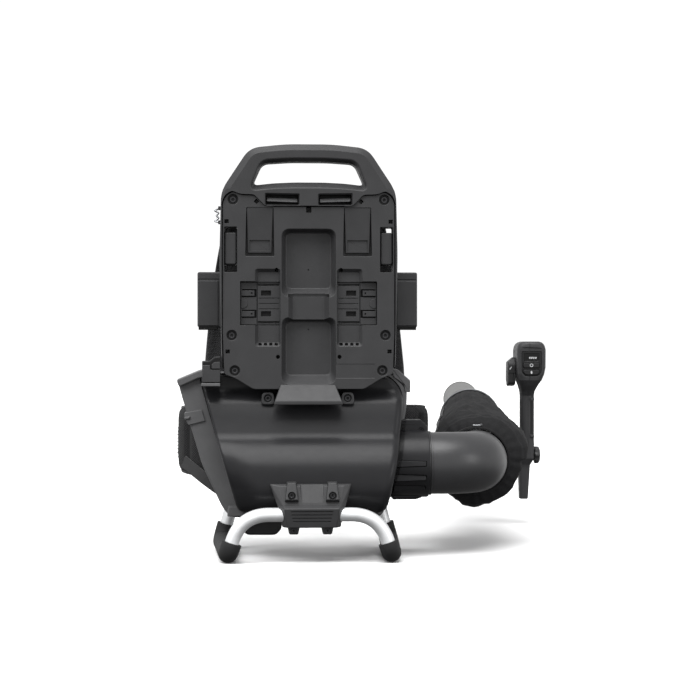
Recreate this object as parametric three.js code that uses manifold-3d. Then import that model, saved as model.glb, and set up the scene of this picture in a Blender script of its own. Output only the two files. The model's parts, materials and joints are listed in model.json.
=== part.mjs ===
// Battery backpack leaf blower, standing on its own feet, with no battery fitted.
// Millimetres. +Z is up, +Y is the way the operator faces, +X is the operator's right.
// Heights are drawn from a datum GROUND below the ground; the last lines put the origin
// at the bottom centre of the whole machine.
import * as THREE from 'three';
import { mergeVertices } from 'three/addons/utils/BufferGeometryUtils.js';
import Module from 'manifold-3d';

const wasm = await Module();
wasm.setup();

// ---------------------------------------------------------------- driving dimensions

const GROUND = 5; // height of the ground in the drawing
const GAP = 0.4; // between pieces that touch
const WALL = 3; // moulded wall thickness
const FINE = 24; // sides of a round duct
const COARSE = 12; // sides of a small round part

// carrying frame and back plate: Y = 0 is the plate's front face
const FRAME_FRONT = -3;
const FRAME_BACK = 34;
const FRAME_BOTTOM = 247;
const PLATE_BACK = 22;
const RECESS_DEPTH = 18;
const SIDE_SLOT = { x0: 93, x1: 110, z0: 378, z1: 437 };

// fan housing
const PARTING = 45.2; // the plane where the two housing halves meet
const HOUSING_BACK = 100;
const FAN = { x: -8, z: 148, radius: 70 };

// air duct, from the housing to the nozzle
const OUTLET_Z = 127;
const DUCT_RADIUS = 41;
const COLLAR = { x0: 108, x1: 159.4 };
const ELBOW = { x0: 144, x1: 231.5, bend: 60, y1: 116 };
const TUBE_START = new THREE.Vector3(258, 402, 171);
const TUBE_END = new THREE.Vector3(316, 1050, 186.5);
const TUBE_RADIUS = 39.5;
const TUBE_LENGTH = 162;

// control handle
const HANDLE = { x: 357, y: 490 };
const PIVOT_Z = 113;
const HEAD_FRONT = -34;

// stand
const STAND_RADIUS = 9;
const FOOT_RADIUS = 13;
const ARCH = { y: -52, z: 67.4 };

// harness: the back panel slopes from PANEL_TOP to PANEL_KNEE and then hangs to PANEL_FOOT
const PANEL_TOP = { y: 50, z: 475 };
const PANEL_KNEE = { y: 106, z: 252 };
const PANEL_FOOT = { y: 109, z: 72 };
const PANEL_THICKNESS = 7;
const BELT = { y: 225, rx: 163.5, ry: 100, z0: 92, z1: 196 };
const STRAP = { y: 100, z: 335, ry: 100, rz: 140, start: 110, end: -60, width: 60, thickness: 16 };

// ---------------------------------------------------------------- materials

const material = (color, roughness, metalness = 0) =>
  new THREE.MeshStandardMaterial({ color, roughness, metalness });

const MATERIALS = {
  casing: material('#4c4c4d', 0.55),
  housing: material('#3f3f41', 0.5),
  duct: material('#48484a', 0.4),
  nozzle: material('#8d8d8d', 0.5),
  black: material('#1c1c1d', 0.6),
  rubber: material('#262627', 0.85),
  fabric: material('#2a2a2c', 0.95),
  webbing: material('#1f1f20', 0.9),
  aluminium: material('#d9dbdd', 0.3, 1),
  steel: material('#8f9193', 0.35, 1),
  board: material('#23402c', 0.6),
};

// ---------------------------------------------------------------- solids: joining and cutting

function toSolid(geometry) {
  const bare = geometry.index ? geometry.toNonIndexed() : geometry.clone();
  bare.deleteAttribute('normal');
  bare.deleteAttribute('uv');
  const merged = mergeVertices(bare, 1e-4);
  return new wasm.Manifold(
    new wasm.Mesh({
      numProp: 3,
      vertProperties: merged.attributes.position.array,
      triVerts: new Uint32Array(merged.index.array),
    }),
  );
}

function toGeometry(solid) {
  const mesh = solid.getMesh();
  const geometry = new THREE.BufferGeometry();
  geometry.setAttribute('position', new THREE.BufferAttribute(mesh.vertProperties, 3));
  geometry.setIndex(new THREE.BufferAttribute(mesh.triVerts, 1));
  return geometry;
}

const combine = (base, others, operation) =>
  toGeometry(others.reduce((solid, other) => solid[operation](toSolid(other)), toSolid(base)));
const cut = (base, ...tools) => combine(base, tools, 'subtract');
const join = (base, ...others) => combine(base, others, 'add');
const common = (base, ...others) => combine(base, others, 'intersect');

// ---------------------------------------------------------------- basic shapes

const box = (x0, x1, y0, y1, z0, z1) =>
  new THREE.BoxGeometry(x1 - x0, y1 - y0, z1 - z0).translate((x0 + x1) / 2, (y0 + y1) / 2, (z0 + z1) / 2);

// an outline of straight sides whose corners are rounded by `radius`
function outline(points, radius = 0) {
  const shape = new THREE.Shape();
  points.forEach(([x, y], i) => {
    const corner = new THREE.Vector2(x, y);
    const before = new THREE.Vector2(...points.at(i - 1)).sub(corner);
    const after = new THREE.Vector2(...points[(i + 1) % points.length]).sub(corner);
    const reach = Math.min(radius, before.length() / 2.2, after.length() / 2.2);
    const enter = corner.clone().add(before.setLength(reach));
    const leave = corner.clone().add(after.setLength(reach));
    if (i === 0) shape.moveTo(enter.x, enter.y);
    else shape.lineTo(enter.x, enter.y);
    if (radius) shape.quadraticCurveTo(x, y, leave.x, leave.y);
  });
  shape.closePath();
  return shape;
}

const mirrored = (half) => [...half, ...half.map(([x, z]) => [-x, z]).reverse()];

// the same outline with every side moved inwards by `distance`; corners run anticlockwise
function inset(points, distance) {
  const sides = points.map((point, i) => {
    const start = new THREE.Vector2(...point);
    const along = new THREE.Vector2(...points[(i + 1) % points.length]).sub(start).normalize();
    return { start: start.add(new THREE.Vector2(-along.y, along.x).multiplyScalar(distance)), along };
  });
  return sides.map((side, i) => {
    const before = sides.at(i - 1);
    const between = side.start.clone().sub(before.start);
    const t = between.cross(side.along) / before.along.cross(side.along);
    return before.start.clone().addScaledVector(before.along, t).toArray();
  });
}

const extrude = (shape, depth, curveSegments = 3) =>
  new THREE.ExtrudeGeometry(shape, { depth, bevelEnabled: false, curveSegments });

// (x, z) outline swept along Y, (y, z) outline swept along X, (x, y) outline swept along Z
const alongY = (shape, y0, y1) => extrude(shape, y1 - y0).rotateX(Math.PI / 2).translate(0, y1, 0);
const cyclic = new THREE.Matrix4().set(0, 0, 1, 0, 1, 0, 0, 0, 0, 1, 0, 0, 0, 0, 0, 1);
const alongX = (shape, x0, x1) => extrude(shape, x1 - x0).applyMatrix4(cyclic).translate(x0, 0, 0);
const alongZ = (shape, z0, z1) => extrude(shape, z1 - z0).translate(0, 0, z0);

// turned shapes: profile points are [radius, distance along the axis]
const turned = (profile, sides = FINE) =>
  new THREE.LatheGeometry(profile.map(([r, a]) => new THREE.Vector2(r, a)), sides);
const ring = (inner, outer, length, sides = FINE) =>
  turned([[inner, 0], [outer, 0], [outer, length], [inner, length], [inner, 0]], sides);
const disc = (radius, length, sides = COARSE) =>
  turned([[0, 0], [radius, 0], [radius, length], [0, length]], sides);
const turnToX = (geometry) => geometry.rotateZ(-Math.PI / 2);

// a path of straight runs; the corner i is eased over reaches[i]
function easedPath(points, reaches) {
  const path = new THREE.CurvePath();
  let last = points[0];
  points.slice(1, -1).forEach((corner, i) => {
    const reach = reaches[i] ?? reaches[0];
    const enter = corner.clone().add(points[i].clone().sub(corner).setLength(reach));
    const leave = corner.clone().add(points[i + 2].clone().sub(corner).setLength(reach));
    path.add(new THREE.LineCurve3(last, enter));
    path.add(new THREE.QuadraticBezierCurve3(enter, corner, leave));
    last = leave;
  });
  path.add(new THREE.LineCurve3(last, points.at(-1)));
  return path;
}

// a round bar, or a pipe when `bore` is given, along a path
function roundAlong(path, radius, steps, sides, bore = 0) {
  const circle = (r, Kind) => {
    const corners = Array.from({ length: sides }, (_, i) => {
      const angle = (2 * Math.PI * i) / sides;
      return new THREE.Vector2(r * Math.cos(angle), r * Math.sin(angle));
    });
    return new Kind(corners);
  };
  const section = circle(radius, THREE.Shape);
  if (bore) section.holes.push(circle(bore, THREE.Path));
  return new THREE.ExtrudeGeometry(section, { steps, extrudePath: path, bevelEnabled: false });
}

// ---------------------------------------------------------------- the scene graph

const blower = new THREE.Group();

function add(name, geometry, kind, parent = blower) {
  const mesh = new THREE.Mesh(geometry, MATERIALS[kind]);
  mesh.name = name;
  parent.add(mesh);
  return mesh;
}

// calls make('left', -1) and make('right', 1)
const bothSides = (make) => [['left', -1], ['right', 1]].forEach(([side, sign]) => make(side, sign));

// ---------------------------------------------------------------- carrying frame and back plate

const PLATE_HALF = [
  [0, 224], [72, 226], [95, 240], [110, 245.5],
  [112, 300], [112, 468], [108, 477], [99, 483],
  [88, 478.5], [70, 478], [56, 463.5], [0, 464.5],
];
const PLATE_OUTLINE = mirrored(PLATE_HALF.slice(1, -1));

function sideSlot(sign, margin, y0, y1) {
  const { x0, x1, z0, z1 } = SIDE_SLOT;
  const [low, high] = [sign * x0, sign * x1].sort((a, b) => a - b);
  return box(low - margin, high + margin, y0, y1, z0 - margin, z1 + margin);
}

function carryFrame() {
  const body = outline(
    mirrored([[113, FRAME_BOTTOM], [116, 400], [114, 484], [77, 540], [30, 545]]), 14,
  );
  const grip = outline(mirrored([[74, 491], [60, 520]]), 9);
  const seat = outline(inset(PLATE_OUTLINE, -GAP).map(([x, z]) => [x, z < 260 ? z - 20 : z]));
  const hollow = outline(inset(mirrored([[109, 230], [109, 458]]), WALL), 6);
  const webSlot = (sign) => {
    const [low, high] = [sign * 13, sign * 56].sort((a, b) => a - b);
    return box(low, high, FRAME_FRONT - 1, 12, 467, 481);
  };
  return cut(
    alongY(body, FRAME_FRONT, FRAME_BACK),
    alongY(grip, FRAME_FRONT - 1, FRAME_BACK + 1),
    alongY(seat, FRAME_FRONT - 1, PLATE_BACK + GAP),
    alongY(hollow, PLATE_BACK, FRAME_BACK - WALL),
    webSlot(-1), webSlot(1),
    sideSlot(-1, 0, 0, FRAME_BACK + 1), sideSlot(1, 0, 0, FRAME_BACK + 1),
  );
}
add('carry_frame', carryFrame(), 'casing');

const PLATE_SCREWS = [[98.5, 472.5], [100, 296], [96, 250]];

function backPlate() {
  const mainRecess = (z0, z1) =>
    alongY(outline([[-35, z0], [35, z0], [35, z1], [-35, z1]], 8), -1, RECESS_DEPTH);
  const bridge = box(-25, 25, -1, 8, 315, 350);
  const tools = [mainRecess(346, 434), mainRecess(233, 319), bridge];
  for (const sign of [-1, 1]) {
    const [in1, out1] = [sign * 45, sign * 82].sort((a, b) => a - b);
    const ramp = outline([[-1, 466], [-1, 399], [12, 399], [1, 466]]);
    tools.push(alongX(ramp, in1, out1));
    const [railIn, railOut] = [sign * 36, sign * 89].sort((a, b) => a - b);
    tools.push(box(railIn, railOut, -1, 13, 309, 366));
    const [stepIn, stepOut] = [sign * 36, sign * 69].sort((a, b) => a - b);
    tools.push(box(stepIn, stepOut, -1, 6, 283, 382));
    tools.push(sideSlot(sign, 0, -1, PLATE_BACK + 1));
    for (const [x, z] of PLATE_SCREWS) tools.push(disc(7, 5).translate(sign * x, -1, z));
  }
  return cut(alongY(outline(PLATE_OUTLINE), 0, PLATE_BACK), ...tools);
}
add('back_plate', backPlate(), 'casing');

// two moulded rails that the battery's hooks slide behind
bothSides((side, sign) => {
  const [low, high] = [sign * (36 + GAP), sign * (89 - GAP)].sort((a, b) => a - b);
  const rail = box(low, high, 5, 13 - GAP, 309 + GAP, 366 - GAP);
  const windows = [324, 351].map((z) => {
    const [near, far] = [sign * 64, sign * 84].sort((a, b) => a - b);
    return box(near, far, 4, 10, z - 5, z + 5);
  });
  add(`battery_rail_${side}`, cut(rail, ...windows), 'black');
});

const restProfile = outline([[-GAP, 232], [-18, 211], [-18, 206], [-GAP, 206]]);
const restOutline = outline([[-46, 200], [44, 200], [35, 236], [-37, 236]]);
add('battery_rest', common(alongX(restProfile, -50, 50), alongY(restOutline, -20, 0)), 'casing');

bothSides((side, sign) => {
  const [x, z] = PLATE_SCREWS[0];
  add(`plate_screw_${side}`, disc(5.2, 3.2), 'steel').position.set(sign * x, 0.4, z);
});

const connector = box(-140, -117, -4, 25, 246, 262);
add('battery_connector', join(connector, box(-138, -117, 0, 20, 261, 268)), 'black');

// ---------------------------------------------------------------- fan housing

const OUTER_OUTLINE = [
  [-92, 66], [99, 66], [114, 131], [124, 200], [124, 224], [107, 243], [-143, 245],
];
const OUTER_PROFILE = [
  [60, 60], [-20, 66], [-32, 76], [-40, 98], [-40, 120], [-34, 138],
  [-14, 152], [0, 170], [12, 200], [26, 222], [26, 260], [60, 260],
];
const INNER_OUTLINE = [
  [-101, 56], [98, 56], [104, 71], [119, 131], [131, 200], [132, 225],
  [113, 246], [-141, 249], [-172, 238], [-166, 216], [-139, 125], [-112, 68],
];
const anticlockwise = (points) => (THREE.ShapeUtils.isClockWise(
  points.map((p) => new THREE.Vector2(...p))) ? [...points].reverse() : points);

// half of the round outlet stub, on one side of the parting plane
function outletHalf(y0, y1) {
  const stub = turnToX(ring(35, 38, 45)).translate(95, PARTING, OUTLET_Z);
  return common(stub, box(90, 145, y0, y1, 80, 175));
}
const outletBore = () => turnToX(disc(35, 80, FINE)).translate(80, PARTING, OUTLET_Z);

function outerHousing() {
  const face = PARTING - GAP / 2;
  const body = common(
    alongY(outline(OUTER_OUTLINE, 12), -60, face), alongX(outline(OUTER_PROFILE, 6), -160, 140),
  );
  const inside = common(
    alongY(outline(inset(OUTER_OUTLINE, WALL), 10), -60, face + 1),
    alongX(outline(inset(anticlockwise(OUTER_PROFILE), WALL)), -160, 140),
  );
  return cut(join(cut(body, inside), outletHalf(-20, face)), outletBore());
}
add('housing_outer', outerHousing(), 'housing');

function innerHousing() {
  const face = PARTING + GAP / 2;
  const body = alongY(outline(INNER_OUTLINE, 8), face, HOUSING_BACK);
  const inside = alongY(outline(inset(INNER_OUTLINE, WALL), 6), face - 1, HOUSING_BACK - WALL);
  const intake = disc(58, 20, FINE).translate(FAN.x, HOUSING_BACK - 10, FAN.z);
  return cut(join(cut(body, inside), outletHalf(face, 100)), outletBore(), intake);
}
add('housing_inner', innerHousing(), 'casing');

function fanGuard() {
  const plate = disc(63, 2.5, FINE);
  const slots = [-45, -30, -15, 0, 15, 30, 45].map((z) => {
    const half = Math.sqrt(55 ** 2 - z ** 2) - 2;
    return box(-half, half, -1, 4, z - 5, z + 5);
  });
  return cut(plate, ...slots);
}
add('fan_guard', fanGuard(), 'black').position.set(FAN.x, HOUSING_BACK + GAP, FAN.z);

const coverOutline = outline([[-80, 31], [-42, 31], [-34, 39], [-34, 55], [-88, 55], [-88, 39]]);
add('lower_cover', alongY(coverOutline, 60, 98), 'housing');

// ---------------------------------------------------------------- motor and fan, inside the housing

const core = new THREE.Group();
core.position.set(FAN.x, 0, FAN.z);
blower.add(core);

const shaftClear = 4 + GAP;
const stator = join(ring(25, 30, 22), ring(11.4, 30, WALL));
add('motor_stator', stator, 'steel', core).position.y = 10;
add('bearing_front', ring(shaftClear, 11, 5, COARSE), 'steel', core).position.y = 9;
add('motor_rotor', ring(shaftClear, 24, 15), 'steel', core).position.y = 15;
add('motor_mount', ring(11.4, 44, WALL), 'aluminium', core).position.y = 34;
add('bearing_rear', ring(shaftClear, 11, 5, COARSE), 'steel', core).position.y = 33;
add('fan_shaft', disc(4, 68), 'steel', core).position.y = 8;

function impeller() {
  const blades = 9;
  const hub = ring(shaftClear, 14, 30, COARSE);
  const backDisc = ring(shaftClear, FAN.radius, 3, FINE);
  const blade = box(12, FAN.radius - 2, 2, 30, -1, 1);
  const turns = Array.from({ length: blades }, (_, i) =>
    blade.clone().rotateY((2 * Math.PI * i) / blades));
  return join(backDisc, hub, ...turns);
}
add('impeller', impeller(), 'black', core).position.y = 50;

add('motor_controller', box(15, 85, 31, 43, 190, 236), 'board');

// ---------------------------------------------------------------- duct: collar, elbow, hose

// the collar's inner end follows the slanted side of the housing
function outletCollar() {
  const length = COLLAR.x1 - COLLAR.x0;
  const step = 32.5;
  const sleeve = turnToX(turned([
    [38.6, 0], [45, 0], [45, length], [DUCT_RADIUS + 0.8, length], [DUCT_RADIUS + 0.8, step],
    [38.6, step], [38.6, 0],
  ])).translate(COLLAR.x0, PARTING, OUTLET_Z);
  const lug = box(128, 156, PARTING - 7, PARTING + 7, OUTLET_Z + 43, OUTLET_Z + 58);
  const housingSide = outline([[60, 40], [98, 40], [106.5, 71], [121.5, 131], [134, 205], [60, 205]]);
  const gap = box(130, 160, PARTING - 1.5, PARTING + 1.5, OUTLET_Z + 44, 200);
  return cut(join(sleeve, lug), alongY(housingSide, -40, 130), gap);
}
add('outlet_collar', outletCollar(), 'housing');

const elbowPath = easedPath([
  new THREE.Vector3(ELBOW.x0, PARTING, OUTLET_Z),
  new THREE.Vector3(ELBOW.x1, PARTING, OUTLET_Z),
  new THREE.Vector3(ELBOW.x1, ELBOW.y1, OUTLET_Z),
], [ELBOW.bend]);
add('elbow_pipe', roundAlong(elbowPath, DUCT_RADIUS, 14, FINE, DUCT_RADIUS - WALL), 'duct');

// fabric duct: tight on the elbow and the tube, full in between.
// Each station is the distance y, the centre's x and z, and the outside radius.
const HOSE_STATIONS = [
  [98, 231.5, 127, 44.2], [114, 231.5, 127, 44.2], [120, 233, 127, 54], [132, 237, 126, 63],
  [150, 240, 126, 67], [190, 243, 130, 67.5], [240, 247, 138, 63.5], [290, 251, 150, 57],
  [340, 254, 160, 52], [380, 256.5, 168, 48], [402, 258, 171, 44.2], [432, 260.7, 171.7, 44.2],
];

function fabricHose() {
  const cloth = 2.4;
  const outside = HOSE_STATIONS.map(([y, , , r]) => [r, y]);
  const inside = HOSE_STATIONS.map(([y, , , r]) => [r - cloth, y]).reverse();
  const hose = turned([...outside, ...inside, outside[0]]);
  const position = hose.attributes.position;
  for (let i = 0; i < position.count; i += 1) {
    const [, x, z] = HOSE_STATIONS.find(([y]) => Math.abs(y - position.getY(i)) < 0.1);
    position.setX(i, position.getX(i) + x);
    position.setZ(i, position.getZ(i) + z);
  }
  return cut(hose);
}
add('fabric_hose', fabricHose(), 'fabric');
add('hose_clamp_rear', ring(45, 47.4, 9), 'steel').position.set(ELBOW.x1, 101, OUTLET_Z);

// ---------------------------------------------------------------- blow tube and nozzle

// the tube group's own +Y runs down the tube, away from the hose
const tubeGroup = new THREE.Group();
const tubeDirection = TUBE_END.clone().sub(TUBE_START).normalize();
tubeGroup.position.copy(TUBE_START);
tubeGroup.quaternion.setFromUnitVectors(new THREE.Vector3(0, 1, 0), tubeDirection);
tubeGroup.updateMatrix();
blower.add(tubeGroup);

const tubeProfile = [
  [37, 0], [DUCT_RADIUS, 0], [DUCT_RADIUS, 36], [TUBE_RADIUS, 42],
  [TUBE_RADIUS, 120], [38.6, TUBE_LENGTH], [36, TUBE_LENGTH], [37, 0],
];
add('control_tube', turned(tubeProfile), 'duct', tubeGroup);
add('hose_clamp_front', ring(44.8, 46.6, 9), 'steel', tubeGroup).position.y = 14;

const NOZZLE_LENGTH = TUBE_END.distanceTo(TUBE_START) - TUBE_LENGTH;
const nozzleProfile = [
  [33.2, -34], [35.4, -34], [35.4, GAP], [38.2, GAP], [38.2, 10], [37, 14],
  [31, NOZZLE_LENGTH - 6], [32.3, NOZZLE_LENGTH - 5], [32.3, NOZZLE_LENGTH], [29, NOZZLE_LENGTH], [33.2, -34],
];
add('nozzle', turned(nozzleProfile), 'nozzle', tubeGroup).position.y = TUBE_LENGTH;

// a band round the tube with an arm down to the handle's pivot
function handleClamp() {
  const local = (geometry) => geometry.applyMatrix4(tubeGroup.matrix);
  const along = HANDLE.y - TUBE_START.y;
  const band = local(disc(TUBE_RADIUS + 3.6, 24, FINE).translate(0, along - 12, 0));
  const bore = local(disc(TUBE_RADIUS + GAP, 60, FINE).translate(0, along - 30, 0));
  const arm = alongY(
    outline([[276, 131], [298, 112], [328, 98], [342.6, 100], [342.6, 128], [328, 131], [309, 158], [296, 170]], 3),
    HANDLE.y - 11, HANDLE.y + 11,
  );
  const boltHole = turnToX(disc(3.6, 40)).translate(313, HANDLE.y, PIVOT_Z);
  return cut(join(band, arm), bore, boltHole);
}
add('handle_clamp', handleClamp(), 'black');

// ---------------------------------------------------------------- control handle

// drawn about its own seam: x = 0 is the seam, y = 0 the stem's centre
const handle = new THREE.Group();
handle.position.set(HANDLE.x, HANDLE.y, 0);
blower.add(handle);

const TRIGGER_SLOT = { x0: -6.5, x1: 7, y: 4, z0: 164, z1: 229 };
const PANEL = { x0: -14, x1: 20, z0: 237, z1: 276, depth: 5.5 };
const BUTTONS = [['power_button', 253.4], ['boost_button', 242.4]];
const BUTTON = { x0: -10, x1: 15, height: 8 };

function handleBody() {
  const front = outline([
    [-13, 45.5], [1.5, 45.5], [4.5, 97], [10.5, 108], [10.5, 212], [20, 230], [26, 246], [26.5, 277],
    [21, 286], [2, 290], [-15, 287], [-19, 277], [-19, 250], [-16, 230], [-10, 212], [-10, 136],
    [-14, 131], [-14, 98], [-13, 92],
  ], 3);
  const side = outline([
    [-9, 44], [10, 44], [13, 100], [18, 110], [18, 212], [29, 238], [29, 282],
    [16, 292], [-28, 290], [-34, 282], [-34, 232], [-27, 216], [-16, 208], [-16, 110], [-11, 100],
  ], 3);
  return cut(
    common(alongY(front, -50, 40), alongX(side, -28, 37)),
    box(TRIGGER_SLOT.x0, TRIGGER_SLOT.x1, TRIGGER_SLOT.y, 35, TRIGGER_SLOT.z0, TRIGGER_SLOT.z1),
    box(PANEL.x0, PANEL.x1, HEAD_FRONT - 1, HEAD_FRONT + PANEL.depth, PANEL.z0, PANEL.z1),
    turnToX(disc(3.6, 60)).translate(-28, 0, PIVOT_Z),
  );
}
const handleSolid = handleBody();
const rightHalf = box(GAP / 2, 42, -50, 50, 30, 310);
const leftHalf = box(-38, -GAP / 2, -50, 50, 30, 310);
add('handle_shell_left', common(handleSolid, leftHalf), 'casing', handle);
add('handle_shell_right', common(handleSolid, rightHalf), 'casing', handle);

const buttonHoles = BUTTONS.map(([, z]) => box(
  BUTTON.x0 - GAP, BUTTON.x1 + GAP, HEAD_FRONT - 5, HEAD_FRONT + 10,
  z - BUTTON.height / 2 - GAP, z + BUTTON.height / 2 + GAP,
));
const panelPlate = box(
  PANEL.x0 + GAP, PANEL.x1 - GAP, HEAD_FRONT + 1, HEAD_FRONT + 3.5, PANEL.z0 + GAP, PANEL.z1 - GAP,
);
add('control_panel', cut(panelPlate, ...buttonHoles), 'black', handle);
for (const [name, z] of BUTTONS) {
  const button = box(0, BUTTON.x1 - BUTTON.x0, -0.6, 3.2, -BUTTON.height / 2, BUTTON.height / 2);
  add(name, button, 'black', handle).position.set(BUTTON.x0, HEAD_FRONT, z);
}

const triggerProfile = outline([
  [10, 214], [14, 224], [22, 224], [30, 206], [29, 178], [23, 168], [19, 170], [19, 200],
], 2);
const trigger = alongX(triggerProfile, TRIGGER_SLOT.x0 + 0.8, TRIGGER_SLOT.x1 - 0.8);
add('trigger', trigger, 'black', handle);

const leverProfile = outline([
  [-14, 224], [10, 220], [15, 232], [13, 258], [5, 266], [-7, 265], [-14, 254],
], 3);
add('cruise_lever', alongX(leverProfile, -31, -19.6), 'black', handle);

const knobHead = turnToX(disc(12, 9, COARSE)).translate(11, 0, PIVOT_Z);
const knobBolt = turnToX(disc(3, 39)).translate(-27, 0, PIVOT_Z);
add('clamp_knob', join(knobHead, knobBolt), 'black', handle);

// ---------------------------------------------------------------- stand

// from the right rear leg, forward along the ground, over the arch and back on the left
const STAND_REACHES = [20, 13, 36];
const standSide = (sign) => [
  new THREE.Vector3(sign * 94, 128, 90),
  new THREE.Vector3(sign * 114, 131, GROUND + FOOT_RADIUS),
  new THREE.Vector3(sign * 104, ARCH.y, GROUND + FOOT_RADIUS),
  new THREE.Vector3(sign * 88, ARCH.y, ARCH.z),
];
const standPath = easedPath(
  [...standSide(1), ...standSide(-1).reverse()], [...STAND_REACHES, ...[...STAND_REACHES].reverse()],
);
add('stand_tube', roundAlong(standPath, STAND_RADIUS, 76, 10), 'aluminium');

bothSides((side, sign) => {
  const [top, rear, front, arch] = standSide(sign);
  const sleeve = easedPath(
    [rear.clone().lerp(top, 0.31), rear, front, front.clone().lerp(arch, 0.28)], STAND_REACHES,
  );
  add(`foot_${side}`, roundAlong(sleeve, FOOT_RADIUS, 30, 10, STAND_RADIUS + 1.4), 'rubber');
});

function standBracket() {
  const front = outline([
    [-36, 53], [-30, 53], [-26, 44.5], [-16, 44.5], [-12, 53], [13, 53], [17, 44.5], [27, 44.5], [31, 53],
    [40, 53], [44, 78], [52, 103], [-47, 103], [-40, 78],
  ], 2);
  const side = outline([[-41, 40], [-64, 40], [-68, 54], [-68, 80], [-50, 103], [-41, 103]], 2);
  const channel = turnToX(disc(STAND_RADIUS + 0.8, 140)).translate(-70, ARCH.y, ARCH.z);
  return cut(common(alongY(front, -80, -30), alongX(side, -60, 60)), channel);
}
add('stand_bracket', standBracket(), 'casing');

bothSides((side, sign) => {
  const [top, rear] = standSide(sign);
  const [low, high] = [sign * 80, sign * 110].sort((a, b) => a - b);
  const block = box(low, high, 116.6, 141, 72, 90.4);
  const direction = top.clone().sub(rear).normalize();
  const bore = disc(STAND_RADIUS + 0.6, 80)
    .applyQuaternion(new THREE.Quaternion().setFromUnitVectors(new THREE.Vector3(0, 1, 0), direction))
    .translate(...top.clone().addScaledVector(direction, -60).toArray());
  add(`leg_clamp_${side}`, cut(block, bore), 'black');
});

// ---------------------------------------------------------------- harness

// the panel's face at height z, `out` millimetres behind its front face
function panelY(z, out = 0) {
  const [low, high] = z > PANEL_KNEE.z ? [PANEL_KNEE, PANEL_TOP] : [PANEL_FOOT, PANEL_KNEE];
  return low.y + ((high.y - low.y) * (z - low.z)) / (high.z - low.z) + out;
}

// a (y, z) slice of something that lies on the panel, from `near` to `far` behind its front face
const panelSlice = (z0, z1, near, far) => {
  const heights = [z0, ...(z0 < PANEL_KNEE.z && z1 > PANEL_KNEE.z ? [PANEL_KNEE.z] : []), z1];
  const face = heights.map((z) => [panelY(z, near), z]);
  const back = heights.map((z) => [panelY(z, far), z]).reverse();
  return outline([...face, ...back]);
};

const panelFront = outline(
  mirrored([[56, 96], [72, 73], [106, 73], [108, 92], [85, 106], [84, 300], [74, 440], [62, 475]]), 6,
);
const handHole = alongY(outline(mirrored([[30, 448], [30, 462]]), 5), 0, 200);
add('harness_frame', cut(common(
  alongX(panelSlice(PANEL_FOOT.z, PANEL_TOP.z, 0, PANEL_THICKNESS), -100, 100), alongY(panelFront, 0, 200),
), handHole), 'black');

// a cross beam behind the carrying frame, hollow towards the harness
function harnessYoke() {
  const section = outline([
    [44, 307], [panelY(307, -GAP), 307], [panelY(380, -GAP), 380], [44, 380],
  ]);
  const hollows = [[-142, -91], [-87, 87], [91, 142]].map(([x0, x1]) => box(x0, x1, 48, 120, 311, 376));
  return cut(alongX(section, -145.5, 145.5), ...hollows);
}
add('harness_yoke', harnessYoke(), 'casing');

bothSides((side, sign) => {
  add(`damper_${side}`, disc(10, 44 - FRAME_BACK - 2 * GAP), 'rubber')
    .position.set(sign * 70, FRAME_BACK + GAP, 343);
});

const cushion = PANEL_THICKNESS + GAP;
const backPadFront = outline(mirrored([[74, 208], [76, 300], [60, 440]]), 12);
add('back_pad', common(
  alongX(panelSlice(208, 440, cushion, cushion + 18), -100, 100), alongY(backPadFront, 0, 200),
), 'fabric');
const lumbarFront = outline(mirrored([[70, 96], [72, 198]]), 12);
add('lumbar_pad', common(
  alongX(panelSlice(112, 198, cushion, cushion + 16), -100, 100), alongY(lumbarFront, 0, 200),
), 'fabric');

// a band of an ellipse, `half` thick each way, between two angles in degrees
function ellipseBand(centre, radii, half, from, to, steps) {
  const at = (grow, i) => {
    const angle = THREE.MathUtils.degToRad(from + ((to - from) * i) / steps);
    return new THREE.Vector2(
      centre[0] + (radii[0] + grow) * Math.cos(angle), centre[1] + (radii[1] + grow) * Math.sin(angle),
    );
  };
  const indices = Array.from({ length: steps + 1 }, (_, i) => i);
  return new THREE.Shape([...indices.map((i) => at(half, i)), ...indices.reverse().map((i) => at(-half, i))]);
}

// shoulder strap: a band that arches forward from the panel's top and drifts outwards as it falls
function shoulderStrap(sign) {
  const band = ellipseBand(
    [STRAP.y, STRAP.z], [STRAP.ry, STRAP.rz], STRAP.thickness / 2, STRAP.start, STRAP.end, 16,
  );
  const strap = alongX(band, -STRAP.width / 2, STRAP.width / 2);
  const position = strap.attributes.position;
  for (let i = 0; i < position.count; i += 1) {
    const angle = THREE.MathUtils.radToDeg(Math.atan2(
      (position.getZ(i) - STRAP.z) / STRAP.rz, (position.getY(i) - STRAP.y) / STRAP.ry,
    ));
    const t = THREE.MathUtils.clamp((STRAP.start - angle) / (STRAP.start - STRAP.end), 0, 1);
    position.setX(i, position.getX(i) + sign * (50 + 60 * Math.sin((t * Math.PI) / 2)));
  }
  return cut(strap);
}

// a flat strip of webbing between two points
function strip(from, to, width, thickness) {
  const along = to.clone().sub(from);
  const turn = new THREE.Quaternion().setFromUnitVectors(
    new THREE.Vector3(0, 0, 1), along.clone().normalize(),
  );
  return new THREE.BoxGeometry(width, thickness, along.length())
    .applyQuaternion(turn).translate(...from.clone().lerp(to, 0.5).toArray());
}

bothSides((side, sign) => {
  add(`shoulder_strap_${side}`, shoulderStrap(sign), 'fabric');
  const foot = new THREE.Vector3(sign * 81, 117.5, 208);
  const tip = new THREE.Vector3(sign * 103, 139, 209);
  add(`strap_webbing_${side}`, strip(foot, tip, 20, 2.5), 'webbing');
});

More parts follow.
